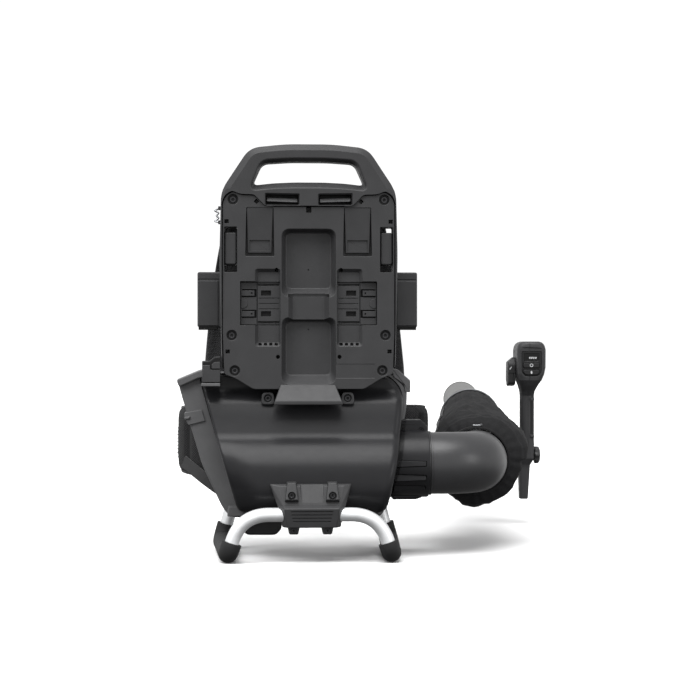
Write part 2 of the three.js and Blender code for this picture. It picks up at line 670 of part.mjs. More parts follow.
// hip belt: pads round the hips, webbing to the buckle in front
const beltArc = (half, from, to, steps) =>
  ellipseBand([0, BELT.y], [BELT.rx, BELT.ry], half, from, to, steps);
const BELT_SIDES = {
  left: { pad: [242, 164], web: [163, 106] },
  right: { pad: [-62, 16], web: [17, 74] },
};
bothSides((side) => {
  const { pad, web } = BELT_SIDES[side];
  add(`hip_pad_${side}`, alongZ(beltArc(9, ...pad, 12), BELT.z0, BELT.z1), 'fabric');
  add(`belt_webbing_${side}`, alongZ(beltArc(1.4, ...web, 9), 123, 161), 'webbing');
});
const buckleY = BELT.y + BELT.ry;
add('buckle_socket', box(-44, 0, -7, 7, 118, 166), 'black').position.y = buckleY;
add('buckle_plug', box(GAP, 44, -7, 7, 118, 166), 'black').position.y = buckleY;

// a bent wire clip on the frame's side, for the harness's top strap
const clipPath = easedPath([
  new THREE.Vector3(-117.4, 20, 443), new THREE.Vector3(-125, 24, 446), new THREE.Vector3(-118, 26, 456),
  new THREE.Vector3(-125, 28, 465), new THREE.Vector3(-117.4, 30, 471),
], [2.5]);
add('harness_clip', roundAlong(clipPath, 1.3, 24, 6), 'steel');

// ---------------------------------------------------------------- origin

const extent = new THREE.Box3().setFromObject(blower, true);
const middle = extent.getCenter(new THREE.Vector3());
blower.position.set(-middle.x, -middle.y, -extent.min.z);

export default blower;
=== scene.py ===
"""Battery backpack leaf blower: the detailed look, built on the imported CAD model.

Shapes are written in drawing millimetres: X to the operator's right, Y the way the operator
faces, Z up. `at` turns a drawing point into the frame's metres.
"""
import json
import math

import bmesh
import bpy
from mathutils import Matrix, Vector, noise
from mathutils.kdtree import KDTree


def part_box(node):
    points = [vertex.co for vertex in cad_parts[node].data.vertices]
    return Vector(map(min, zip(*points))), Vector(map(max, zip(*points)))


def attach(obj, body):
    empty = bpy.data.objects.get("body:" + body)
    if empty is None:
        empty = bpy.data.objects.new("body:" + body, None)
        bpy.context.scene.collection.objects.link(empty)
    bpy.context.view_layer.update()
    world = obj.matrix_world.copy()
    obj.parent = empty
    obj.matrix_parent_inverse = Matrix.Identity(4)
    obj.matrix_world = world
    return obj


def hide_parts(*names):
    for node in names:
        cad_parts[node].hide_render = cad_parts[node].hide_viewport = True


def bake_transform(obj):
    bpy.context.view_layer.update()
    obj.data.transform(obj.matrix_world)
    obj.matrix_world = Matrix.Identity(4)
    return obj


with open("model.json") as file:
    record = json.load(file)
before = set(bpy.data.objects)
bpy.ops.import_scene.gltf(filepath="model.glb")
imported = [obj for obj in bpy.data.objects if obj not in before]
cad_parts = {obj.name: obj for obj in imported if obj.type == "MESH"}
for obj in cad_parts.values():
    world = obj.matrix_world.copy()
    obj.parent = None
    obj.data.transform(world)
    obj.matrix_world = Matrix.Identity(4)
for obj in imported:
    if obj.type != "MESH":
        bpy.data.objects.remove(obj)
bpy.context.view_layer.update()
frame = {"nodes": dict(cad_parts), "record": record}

# ---------------------------------------------------------------- drawing frame and sizes

MM = 0.001
plate_low, plate_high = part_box("back_plate")
PLATE_FOOT = 226  # drawing height of the plate's lowest edge
ORIGIN = Vector(((plate_low.x + plate_high.x) / 2, plate_low.y, plate_low.z - PLATE_FOOT * MM))

SIDES = (("left", -1), ("right", 1))
FRAME_FRONT, FRAME_BACK = -3, 34
PLATE_BACK = 22
PARTING = 45.2  # plane where the housing halves meet
HOUSING_BACK = 100
FAN_X, FAN_Z = -8, 148
OUTLET_Z = 127
DUCT_RADIUS = 41
ELBOW_X0, ELBOW_X1, ELBOW_BEND, ELBOW_Y1 = 144, 231.5, 60, 116
TUBE_START, TUBE_END = Vector((258, 402, 171)), Vector((316, 1050, 186.5))
TUBE_AXIS = (TUBE_END - TUBE_START).normalized()
TUBE_LENGTH = 162
HANDLE = Vector((357, 490, 0))  # seam and stem centre of the control handle
PIVOT_Z = 113
GROUND, STAND_RADIUS, FOOT_RADIUS = 5, 9, 13
ARCH_Y, ARCH_Z = -52, 67.4
PANEL_TOP, PANEL_KNEE, PANEL_FOOT = (50, 475), (106, 252), (109, 72)  # (y, z) of the harness panel
BELT_Y, BELT_RX, BELT_RY, BELT_Z0, BELT_Z1 = 225, 163.5, 100, 92, 196
STRAP_Y, STRAP_Z, STRAP_RY, STRAP_RZ, STRAP_START, STRAP_END = 100, 335, 100, 140, 110, -60


def at(x, y, z):
    return ORIGIN + Vector((x, y, z)) * MM


# ---------------------------------------------------------------- camera

CAMERA_YAW = math.radians(3.1)
CAMERA_PLACE = (-81.7, -2499.2, 277)
CAMERA_LENS = 98.9


def make_camera():
    data = bpy.data.cameras.new("camera")
    data.lens = CAMERA_LENS
    camera = bpy.data.objects.new("camera", data)
    bpy.context.scene.collection.objects.link(camera)
    camera.location = at(*CAMERA_PLACE)
    camera.rotation_euler = (math.pi / 2, 0, -CAMERA_YAW)
    bpy.context.scene.camera = camera


make_camera()


# ---------------------------------------------------------------- materials

def srgb(value):
    return tuple(c / 12.92 if c <= 0.04045 else ((c + 0.055) / 1.055) ** 2.4 for c in value)


class Shader:
    """A Principled material whose colour, roughness and bump come from procedural nodes."""

    def __init__(self, name, roughness, specular=0.25, **constants):
        self.material = bpy.data.materials.new(name)
        self.material.use_nodes = True
        self.tree = self.material.node_tree
        self.shader = self.tree.nodes["Principled BSDF"]
        self.shader.inputs["Roughness"].default_value = roughness
        self.shader.inputs["Specular IOR Level"].default_value = specular
        for socket, value in constants.items():
            self.shader.inputs[socket.replace("_", " ")].default_value = value
        self.place = self.tree.nodes.new("ShaderNodeTexCoord").outputs["Object"]
        self.height = None

    def node(self, kind, inputs=(), **settings):
        made = self.tree.nodes.new(kind)
        for key, value in settings.items():
            setattr(made, key, value)
        for key, value in dict(inputs).items():
            if isinstance(value, bpy.types.NodeSocket):
                self.tree.links.new(value, made.inputs[key])
            else:
                made.inputs[key].default_value = value
        return made

    def noise(self, scale, detail=2.0):
        made = self.node("ShaderNodeTexNoise",
                         {"Vector": self.place, "Scale": scale, "Detail": detail})
        return made.outputs["Fac"]

    def math(self, operation, first, second):
        return self.node("ShaderNodeMath", {0: first, 1: second}, operation=operation).outputs[0]

    def remap(self, value, low, high, start=0.3, end=0.7):
        made = self.node("ShaderNodeMapRange", {
            "Value": value, "From Min": start, "From Max": end, "To Min": low, "To Max": high,
        })
        return made.outputs["Result"]

    def colours(self, factor, first, second):
        made = self.node("ShaderNodeMix", {"Factor": factor}, data_type="RGBA")
        made.inputs[6].default_value = (*srgb(first), 1)
        made.inputs[7].default_value = (*srgb(second), 1)
        self.tree.links.new(made.outputs[2], self.shader.inputs["Base Color"])

    def rough(self, factor, low, high):
        self.tree.links.new(self.remap(factor, low, high), self.shader.inputs["Roughness"])

    def bump(self, height, distance, strength=1.0):
        made = self.node("ShaderNodeBump",
                         {"Height": height, "Distance": distance, "Strength": strength})
        if self.height:
            self.tree.links.new(self.height, made.inputs["Normal"])
        self.height = made.outputs["Normal"]
        self.tree.links.new(self.height, self.shader.inputs["Normal"])


def moulded(name, tone, roughness, grain=0.00004, specular=0.25, **constants):
    """Moulded plastic: spark-eroded grain, faint flow mottling and uneven gloss."""
    made = Shader(name, roughness, specular, **constants)
    mottle = made.noise(38, 3)
    made.colours(made.remap(mottle, 0, 1), [c * 0.955 for c in tone], [c * 1.035 for c in tone])
    made.rough(made.noise(140, 3), roughness * 0.92, roughness * 1.1)
    made.bump(made.noise(2600, 2), grain)
    made.bump(made.noise(90, 1), grain * 2, 0.5)
    return made.material


def woven(name, tone, pitch, depth, roughness=0.92, **constants):
    """Cloth: a plain weave that runs the same on faces of any direction."""
    made = Shader(name, roughness, **constants)
    axes = made.node("ShaderNodeSeparateXYZ", {0: made.place})
    turns = 2 * math.pi / pitch
    waves = [
        made.math("SINE", made.math("MULTIPLY", axes.outputs[i], turns), 0.0) for i in range(3)
    ]
    pairs = [made.math("MULTIPLY", waves[i], waves[i - 1]) for i in range(3)]
    weave = made.math("ADD", made.math("ADD", pairs[0], pairs[1]), pairs[2])
    level = made.remap(weave, 0, 1, -1.2, 1.2)
    fuzz = made.noise(900, 4)
    worn = made.math("MULTIPLY", level, made.remap(made.noise(24, 3), 0.55, 1.0))
    made.colours(made.math("ADD", made.math("MULTIPLY", worn, 0.7),
                           made.math("MULTIPLY", fuzz, 0.3)),
                 [c * 0.72 for c in tone], [c * 1.25 for c in tone])
    made.bump(level, depth)
    made.bump(fuzz, depth * 0.7, 0.6)
    return made.material


def ribbed_web(name, tone):
    """Nylon webbing: fine diagonal ribs."""
    made = Shader(name, 0.75, Sheen_Weight=0.25)
    wave = made.node("ShaderNodeTexWave", {
        "Vector": made.place, "Scale": 320, "Distortion": 0.6, "Detail": 1,
    }, bands_direction="DIAGONAL")
    made.colours(wave.outputs["Fac"], [c * 0.7 for c in tone], [c * 1.2 for c in tone])
    made.bump(wave.outputs["Fac"], 0.00025)
    made.bump(made.noise(1500, 2), 0.0001)
    return made.material


def metal(name, tone, roughness, metallic=1.0):
    made = Shader(name, roughness, 0.5, Metallic=metallic)
    cloud = made.noise(60, 4)
    made.colours(made.remap(cloud, 0, 1), [c * 0.94 for c in tone], tone)
    made.rough(made.noise(700, 3), roughness - 0.05, roughness + 0.08)
    made.bump(made.noise(3000, 2), 0.00002)
    return made.material


def rubber(name, tone):
    made = Shader(name, 0.72)
    dust = made.noise(55, 5)
    made.colours(made.remap(dust, 0, 1, 0.35, 0.75), [c * 0.9 for c in tone],
                 [c * 1.18 for c in tone])
    made.rough(dust, 0.66, 0.8)
    made.bump(made.noise(1500, 3), 0.00006)
    return made.material


def printed(name, tone):
    made = Shader(name, 0.45)
    made.colours(made.noise(900, 2), [c * 0.9 for c in tone], tone)
    return made.material


MATERIALS = {
    "casing": moulded("casing", (0.200, 0.200, 0.204), 0.44),
    "housing": moulded("housing", (0.120, 0.120, 0.126), 0.34, 0.00001, 0.18),
    # inner: the casing plastic given a lighter tone where its faces catch more light (inner
    # housing, flange, caps, clip, lug, bosses, connector lip): painted light
    "inner": moulded("inner", (0.330, 0.330, 0.334), 0.46),
    "duct": moulded("duct", (0.200, 0.200, 0.205), 0.34, 0.000003, 0.36),
    "nozzle": moulded("nozzle", (0.330, 0.330, 0.326), 0.45),
    "black": moulded("black", (0.125, 0.125, 0.128), 0.46),
    "dark": moulded("dark", (0.040, 0.040, 0.042), 0.60),
    "gloss": moulded("gloss", (0.100, 0.100, 0.104), 0.28, 0.000004),
    "rubber": rubber("rubber", (0.150, 0.150, 0.152)),
    "fabric": woven("fabric", (0.110, 0.110, 0.116), 0.0016, 0.00035, Sheen_Weight=0.08),
    "mesh": woven("mesh", (0.095, 0.095, 0.100), 0.0034, 0.0009, Sheen_Weight=0.05),
    "hose": woven("hose", (0.092, 0.092, 0.097), 0.0011, 0.00018, 0.85),
    "webbing": ribbed_web("webbing", (0.100, 0.100, 0.104)),
    "thread": woven("thread", (0.170, 0.170, 0.176), 0.0008, 0.0002),
    "aluminium": metal("aluminium", (0.930, 0.935, 0.940), 0.42, 0.65),
    "steel": metal("steel", (0.560, 0.565, 0.575), 0.33),
    "screw": metal("screw", (0.270, 0.270, 0.276), 0.42),
    "board": moulded("board", (0.120, 0.240, 0.160), 0.50),
    "print": printed("print", (0.780, 0.785, 0.790)),
}
SLOTS = {  # the record's slot of each finer material
    "inner": "casing", "dark": "black", "gloss": "black", "mesh": "fabric", "hose": "fabric",
    "thread": "fabric", "screw": "steel", "print": "black",
}


# ---------------------------------------------------------------- outlines

def rounded(points, radius, steps=5):
    """The closed outline with its corners eased by up to `radius`."""
    corners = [Vector(p) for p in points]
    result = []
    for i, corner in enumerate(corners):
        before = corners[i - 1] - corner
        after = corners[(i + 1) % len(corners)] - corner
        reach = min(radius, before.length / 2.05, after.length / 2.05)
        enter = corner + before.normalized() * reach
        leave = corner + after.normalized() * reach
        for k in range(steps + 1):
            t = k / steps
            result.append(enter * (1 - t) ** 2 + corner * (2 * t * (1 - t)) + leave * t ** 2)
    return result


def grown(points, distance):
    """The closed outline moved outwards by `distance`, or inwards when it is negative."""
    count = len(points)
    area = sum(points[i - 1].cross(points[i]) for i in range(count))
    side = math.copysign(1, area)
    result = []
    for i, point in enumerate(points):
        first = (point - points[i - 1]).normalized()
        second = (points[(i + 1) % count] - point).normalized()
        normal = Vector((first.y, -first.x)) * side
        across = (normal + Vector((second.y, -second.x)) * side).normalized()
        result.append(point + across * (distance / max(across.dot(normal), 0.35)))
    return result


def rectangle(u0, u1, v0, v1, radius=2, steps=5):
    u0, u1 = sorted((u0, u1))
    return rounded([(u0, v0), (u1, v0), (u1, v1), (u0, v1)], radius, steps)


def circle(u, v, radius, sides=32):
    return [
        Vector((u + radius * math.cos(2 * math.pi * i / sides),
                v + radius * math.sin(2 * math.pi * i / sides)))
        for i in range(sides)
    ]


def mirrored(half):
    return [*half, *[(-x, z) for x, z in reversed(half)]]


# ---------------------------------------------------------------- solids

ALONG = {
    "X": lambda u, v, w: (w, u, v),
    "Y": lambda u, v, w: (u, w, v),
    "Z": lambda u, v, w: (u, v, w),
}


def to_object(name, mesh):
    bmesh.ops.recalc_face_normals(mesh, faces=mesh.faces)
    data = bpy.data.meshes.new(name)
    mesh.to_mesh(data)
    mesh.free()
    obj = bpy.data.objects.new(name, data)
    bpy.context.scene.collection.objects.link(obj)
    return obj


def skin(name, rings, closed=False):
    """A surface over rings of drawing points; `closed` joins the last ring to the first."""
    mesh = bmesh.new()
    rows = [[mesh.verts.new(at(*p)) for p in ring] for ring in rings]
    pairs = list(zip(rows, rows[1:])) + ([(rows[-1], rows[0])] if closed else [])
    for lower, upper in pairs:
        for i in range(len(lower)):
            mesh.faces.new((lower[i - 1], lower[i], upper[i], upper[i - 1]))
    if not closed:
        mesh.faces.new(rows[0])
        mesh.faces.new(rows[-1])
    return to_object(name, mesh)


def quarter(radius, steps=3):
    """(inset, depth) down a rounded edge of `radius`, from the face to the side."""
    angles = [math.pi / 2 * k / steps for k in range(steps + 1)]
    return [(radius * (1 - math.sin(a)), radius * (1 - math.cos(a))) for a in angles]


def slab(name, points, axis, low, high, edges=(0.8, 0.8), steps=3):
    """The outline swept along an axis, with rounded edges at both ends."""
    place = ALONG[axis]
    levels = [(inset, low + depth) for inset, depth in quarter(edges[0], steps)]
    levels += [(inset, high - depth) for inset, depth in reversed(quarter(edges[1], steps))]
    return skin(name, [[place(p.x, p.y, w) for p in grown(points, -inset)] for inset, w in levels])


def pocket(mouth, axis, face, floor, inner=None, lip=0.7, fillet=1.2):
    """A cutter for a recess with a rounded rim, drafted sides and a filleted floor.

    `inner` is the outline at the floor; `floor` is a place on the axis, or a function of the
    outline's two coordinates that gives one."""
    place = ALONG[axis]
    inner = inner or grown(mouth, -0.4)
    floor_at = floor if callable(floor) else (lambda u, v: floor)
    sign = 1 if floor_at(*mouth[0]) > face else -1
    rings = [
        [place(p.x, p.y, face + sign * depth) for p in grown(mouth, grow)]
        for grow, depth in [(lip, -1.0), *quarter(lip)]
    ]
    rings += [
        [place(p.x, p.y, floor_at(p.x, p.y) - sign * depth) for p in grown(inner, -inset)]
        for inset, depth in reversed(quarter(fillet))
    ]
    return skin("cutter", rings)


def hole(outline, axis, low, high, lip=0.7):
    """A cutter for a hole right through, with rounded rims on both faces."""
    place = ALONG[axis]
    levels = [(lip, low - 1)] + [(inset, low + depth) for inset, depth in quarter(lip)]
    levels += [(inset, high - depth) for inset, depth in reversed(quarter(lip))] + [(lip, high + 1)]
    return skin("cutter", [[place(p.x, p.y, w) for p in grown(outline, grow)]
                           for grow, w in levels])


def block(name, x, y, z, bevel=0.8):
    """A box with rounded edges, given by its three (low, high) ranges."""
    corners = [(a, b, c) for a in x for b in y for c in z]
    return hull(name, corners, bevel)


def hull(name, points, bevel=0.8):
    """The convex shape round the points, with its edges rounded."""
    mesh = bmesh.new()
    made = [mesh.verts.new(at(*p)) for p in points]
    bmesh.ops.convex_hull(mesh, input=made)
    bmesh.ops.dissolve_limit(mesh, angle_limit=0.02, verts=mesh.verts, edges=mesh.edges)
    loose = [v for v in mesh.verts if not v.link_faces]
    bmesh.ops.delete(mesh, geom=loose, context="VERTS")
    bmesh.ops.bevel(
        mesh, geom=list(mesh.edges), offset=bevel * MM, segments=3, affect="EDGES",
        profile=0.5, clamp_overlap=True,
    )
    return to_object(name, mesh)


def turned(name, profile, centre, axis, sides=72, close=False):
    """A turned shape: the profile's points are (radius, distance along the axis)."""
    turn = Vector((0, 0, 1)).rotation_difference(Vector(axis).normalized())
    rings = []
    for radius, along in profile:
        ring = [Vector((radius * math.cos(a), radius * math.sin(a), along)) for a in
                (2 * math.pi * i / sides for i in range(sides))]
        rings.append([Vector(centre) + turn @ p for p in ring])
    return skin(name, rings, closed=close)


def eased(points, reaches, spacing=3):
    """A path of straight runs; corner i is eased over reaches[i]."""
    corners = [Vector(p) for p in points]
    reaches = [reaches[min(i, len(reaches) - 1)] for i in range(len(corners) - 2)]
    path = [corners[0]]

    def run_to(end):
        start = path[-1]
        count = max(1, round((end - start).length / spacing))
        path.extend(start.lerp(end, k / count) for k in range(1, count + 1))

    for i, reach in enumerate(reaches, start=1):
        corner = corners[i]
        enter = corner + (corners[i - 1] - corner).normalized() * reach
        leave = corner + (corners[i + 1] - corner).normalized() * reach
        run_to(enter)
        count = max(6, round(reach * 2 / spacing))
        for k in range(1, count + 1):
            t = k / count
            path.append(enter * (1 - t) ** 2 + corner * (2 * t * (1 - t)) + leave * t ** 2)
    run_to(corners[-1])
    return path


def frames_along(path):
    """(point, side, up) at every point of the path, without twist."""
    tangents = []
    for i in range(len(path)):
        tangents.append((path[min(i + 1, len(path) - 1)] - path[max(i - 1, 0)]).normalized())
    helper = Vector((0, 0, 1)) if abs(tangents[0].z) < 0.9 else Vector((1, 0, 0))
    side = tangents[0].cross(helper).normalized()
    result = []
    for point, tangent in zip(path, tangents):
        side = (side - tangent * side.dot(tangent)).normalized()
        result.append((point, side, side.cross(tangent)))
    return result


def pipe(name, path, radius, sides=32, bore=0.0, end_round=0.0):
    """A round bar, or a pipe when `bore` is given, along the path."""
    ring_of = lambda item, r: [
        item[0] + (item[1] * math.cos(a) + item[2] * math.sin(a)) * r
        for a in (2 * math.pi * i / sides for i in range(sides))
    ]
    stations = frames_along(path)
    rings = [ring_of(item, radius) for item in stations]
    if end_round:
        for index, item in ((0, stations[0]), (-1, stations[-1])):
            step = (path[0] - path[1]) if index == 0 else (path[-1] - path[-2])
            step.normalize()
            cap = []
            for inset, depth in reversed(quarter(end_round, 5)):
                moved = (item[0] + step * (end_round - depth), item[1], item[2])
                cap.append(ring_of(moved, radius - inset))
            rings = [*reversed(cap[1:]), *rings] if index == 0 else [*rings, *cap[1:]]
    if not bore:
        return skin(name, rings)
    rings += [ring_of(item, bore) for item in reversed(stations)]
    return skin(name, rings, closed=True)


def band(name, path, across, width, thickness, radius=0.6):
    """A flat strip along the path; `across` gives the width direction at a point's index."""
    section = rectangle(-width / 2, width / 2, -thickness / 2, thickness / 2, radius, 2)
    rings = []
    for i, point in enumerate(path):
        tangent = (path[min(i + 1, len(path) - 1)] - path[max(i - 1, 0)]).normalized()
        wide = across(i)
        wide = (wide - tangent * wide.dot(tangent)).normalized()
        up = wide.cross(tangent)
        rings.append([point + wide * p.x + up * p.y for p in section])
    return skin(name, rings)


def settle(obj):
    """Turn the object's modifiers into its mesh."""
    graph = bpy.context.evaluated_depsgraph_get()
    made = bpy.data.meshes.new_from_object(obj.evaluated_get(graph))
    obj.modifiers.clear()
    obj.data = made


def combine(obj, others, operation, solver="MANIFOLD"):
    for other in others:
        modifier = obj.modifiers.new(operation, "BOOLEAN")
        modifier.operation = operation
        modifier.solver = solver
        modifier.object = other
    settle(obj)
    for other in others:
        bpy.data.objects.remove(other)
    return obj


def cut(obj, *cutters, solver="MANIFOLD"):
    return combine(obj, cutters, "DIFFERENCE", solver)


def join(obj, *others):
    return combine(obj, others, "UNION")


def common(obj, *others):
    return combine(obj, others, "INTERSECT")


def merge(name, objects):
    """Join several meshes into the first one, and name it."""
    mesh = bmesh.new()
    for obj in objects:
        mesh.from_mesh(obj.data)
    mesh.to_mesh(objects[0].data)
    mesh.free()
    for obj in objects[1:]:
        bpy.data.objects.remove(obj)
    objects[0].name = name
    return objects[0]


def piece(obj, kind, replaces=(), body="backpack", sharp=38):
    """Give a finished mesh its shading and material and its body, and hide the CAD nodes it stands
    for.
    """
    obj.data.materials.clear()
    obj.data.materials.append(MATERIALS[kind])
    for polygon in obj.data.polygons:
        polygon.use_smooth = True
    obj.data.set_sharp_from_angle(angle=math.radians(sharp))
    weights = obj.modifiers.new("weights", "WEIGHTED_NORMAL")
    weights.keep_sharp = True
    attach(obj, body)
    SLOTS.get(kind, kind)
    if replaces:
        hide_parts(*replaces)
    return obj


def both_sides(make):
    for side, sign in SIDES:
        make(side, sign)


# ---------------------------------------------------------------- screws

def screw(name, centre, axis, body, radius=4.6, depth=2.2):
    """A six-lobe screw head whose face sits at `centre` and looks along `axis`."""
    sides = 48
    turn = Vector((0, 0, 1)).rotation_difference(Vector(axis).normalized())

    def ring(r, along, lobe=0.0):
        points = []
        for i in range(sides):
            a = 2 * math.pi * i / sides
            reach = r + lobe * math.cos(6 * a)
            points.append(Vector(centre) + turn @ Vector((reach * math.cos(a),
                                                          reach * math.sin(a), along)))
        return points

    star = radius * 0.47
    rings = [
        ring(radius, -depth), ring(radius, -0.5), ring(radius - 0.5, 0), ring(star + 0.3, 0, 0.2),
        ring(star, -0.2, 0.3), ring(star, -depth + 0.3, 0.3),
    ]
    head = piece(skin(name, rings), "screw", sharp=30, body=body)
    # Painted shade: the socket's wall and floor take the near-black material, for the shade inside
    # the socket.
    head.data.materials.append(MATERIALS["dark"])
    for polygon in head.data.polygons[4 * sides:]:
        bottom = len(polygon.vertices) == sides and polygon.index == 5 * sides
        polygon.material_index = 0 if bottom else 1
    return head


# ---------------------------------------------------------------- back plate

PLATE_HALF = [
    (72, 226), (95, 240), (110, 245.5), (112, 300), (112, 468), (108, 477), (99, 483),
    (88, 478.5), (70, 478), (56, 463.5),
]
PLATE_SCREWS = [(98.5, 472.5), (100, 296), (96, 250)]
SIDE_SLOT = ((93, 110), (378, 437))


def side_slot(sign, low, high):
    (x0, x1), (z0, z1) = SIDE_SLOT
    return hole(rectangle(sign * x0, sign * x1, z0, z1, 1.5), "Y", low, high, 0.5)


def make_back_plate():
    plate = slab("plate", rounded(mirrored(PLATE_HALF), 4), "Y", 0, PLATE_BACK, (0.9, 0.4))
    cutters = [
        pocket(rectangle(-35, 35, 346, 434, 11), "Y", 0, 17, rectangle(-30.5, 30.5, 356, 431, 8),
               1.4, 2.5),
        pocket(rectangle(-35, 35, 233, 319, 11), "Y", 0, 17, rectangle(-30.5, 30.5, 243, 315, 8),
               1.4, 2.5),
        pocket(rectangle(-26, 26, 314, 352, 2), "Y", 0, 8, rectangle(-21, 21, 312, 352, 2),
               1.0, 0.8),
        pocket(rectangle(-27, 27, 345.5, 350, 1), "Y", 0, 9.5, None, 0.3, 0.3),
        hole(circle(0, 382, 1.0, 12), "Y", 15, 24, 0.2),
        hole(circle(0, 304, 0.9, 12), "Y", 15, 24, 0.2),
        pocket(rectangle(-3.4, 3.4, 455.5, 463, 0.4), "Y", 0, 12, None, 0.3, 0.3),
        pocket(rectangle(35, 86, 240, 259, 0.8), "Y", 0, 0.45, None, 0.1, 0.1),
    ]
    for sign in (-1, 1):
        across = lambda a, b: (sign * a, sign * b)
        groove = rounded([(sign * 46, 462), (sign * 81, 462), (sign * 82.4, 399),
                          (sign * 44.8, 399)], 1.6)
        cutters += [
            pocket(groove, "Y", 0, 11, None, 0.8, 0.4),
            pocket(rectangle(*across(37, 69.5), 282, 382, 4), "Y", 0, 6,
                   rectangle(*across(39, 66), 286, 379, 2.5), 1.0, 1.0),
            pocket(rectangle(*across(37, 89), 309, 366, 0.8), "Y", 0, 13, None, 0.6, 0.4),
            side_slot(sign, 0, PLATE_BACK),
            hole(circle(sign * 42, 381, 2.6, 20), "Y", 0, PLATE_BACK, 0.3),
            hole(circle(sign * 40, 268, 2.6, 20), "Y", 0, PLATE_BACK, 0.3),
            pocket(rectangle(*across(104, 109.5), 441.5, 446.5, 0.3), "Y", 0, 10, None, 0.2, 0.3),
            pocket(rectangle(*across(102.5, 108), 272.5, 277.5, 0.3), "Y", 0, 10, None, 0.2, 0.3),
            pocket(circle(sign * 68, 470, 3.6, 4), "Y", 0, 10, None, 0.2, 0.2),
        ]
        cutters += [pocket(circle(sign * x, z, 6.8), "Y", 0, 3.8,
                           circle(sign * x, z, 6.2), 0.8, 0.5)
                    for x, z in PLATE_SCREWS]
        cutters += [pocket(rectangle(*across(x, x + 4.5), 282.8, 286.5, 1.2), "Y", 2, 12,
                           None, 0.2, 0.2)
                    for x in (40, 47, 54, 61)]
    piece(cut(plate, *cutters, solver="EXACT"), "casing", ["back_plate"])
    for side, sign in SIDES:
        tongue = hull("tongue", [
            (sign * x, y, z) for x, y, z in (
                (46.2, 0.5, 466), (80.8, 0.5, 466), (79.2, 5, 403), (48.2, 5, 403), (46.2, 12, 466),
                (80.8, 12, 466), (79.2, 12, 403), (48.2, 12, 403))], 0.9)
        dip = pocket(rectangle(sign * 50.4, sign * 77, 405.6, 420, 0.6), "Y", 3.6, 5.9,
                     None, 0.3, 0.2)
        tongue = cut(tongue, dip)
        tongue.name = f"plate-tongue-{side}"
        piece(tongue, "casing")
    # Painted shade: a near-black ring in each screw recess round the head stands for the shade in
    # the recess.
    well_shade = merge("screw-wells",
                  [turned("well", [(4.2, 0), (6.4, 0), (6.4, 0.6), (4.2, 0.6)], (sign * x, 3.1, z),
                          (0, 1, 0), 40,
                          close=True) for x, z in PLATE_SCREWS for sign in (-1, 1)])
    piece(well_shade, "dark")
    for side, sign in SIDES:
        for number, (x, z) in enumerate(PLATE_SCREWS, 1):
            made = screw(f"plate-screw-{side}-{number}", (sign * x, 2.4, z), (0, -1, 0),
                         "backpack", 4.3, 1.3)
            if number == 1:
                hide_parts(f"plate_screw_{side}")


make_back_plate()


def make_rails():
    """The two moulded rails: hook tabs outside, ribs and slots inside."""
    def rail(side, sign):
        across = lambda a, b: (sign * a, sign * b)
        base = slab(f"battery-rail-{side}", rectangle(*across(37, 88.4), 310, 365, 0.8), "Y", 7.2,
                    12.6, (0.4, 0.4))
        cutters = [
            pocket(rectangle(*across(49, 62), z - 3.4, z + 3.4, 0.8), "Y", 7.2, 11.4,
                   None, 0.3, 0.2)
            for z in (324, 351)
        ]
        cutters += [
            pocket(rectangle(*across(38, 65), z - 0.5, z + 0.5, 0.2), "Y", 7.2, 8.2, None, 0.1, 0.1)
            for z in (330.5, 337.5, 344.5)
        ]
        cutters.append(pocket(rectangle(*across(66.5, 67.6), 311, 364, 0.2), "Y", 7.2, 9.5, None,
                              0.1, 0.1))
        cutters += [
            pocket(rectangle(*across(68, 87), z - 5.2, z + 5.2, 0.8), "Y", 7.2, 11.4,
                   None, 0.3, 0.2)
            for z in (324, 351)
        ]
        cutters += [
            pocket(rectangle(*across(38, 66), z0, z1, 0.3), "Y", 7.2, 11.8, None, 0.2, 0.2)
            for z0, z1 in ((311.5, 314.5), (360.5, 363.5))
        ]
        piece(cut(base, *cutters, solver="EXACT"), "casing", [f"battery_rail_{side}"])
        # Painted shade: near-black pieces inside the rail slots stand for the shade in them.
        slot_shade = merge(f"rail-slots-{side}",
                       [slab("floor", rectangle(*across(x0, x1), z - half, z + half, 0.6), "Y",
                             10.7, 11.3, (0.1, 0.1), 1)
                        for z in (324, 351)
                        for x0, x1, half in ((49.3, 61.7, 3.1), (68.4, 86.6, 4.8))])
        piece(slot_shade, "dark")
        for level, z in (("low", 324), ("high", 351)):
            tab = slab("tab", rectangle(*across(70.5, 88), z - 3.6, z + 3.6, 0.8), "Y", 5.6, 11,
                       (0.5, 0.2))
            dot = pocket(circle(sign * 74, z, 1.2, 16), "Y", 5.6, 9, None, 0.2, 0.1)
            tab = cut(tab, dot)
            tab.name = f"rail-tab-{side}-{level}"
            piece(tab, "casing")
        stop = slab(f"rail-stop-{side}", rounded([
            (sign * 88.2, 331), (sign * 84, 331), (sign * 79.5, 334), (sign * 79.5, 341),
            (sign * 84, 344), (sign * 88.2, 344),
        ], 3), "Y", 6.2, 8, (0.6, 0.2))
        piece(stop, "casing")
    both_sides(rail)


make_rails()


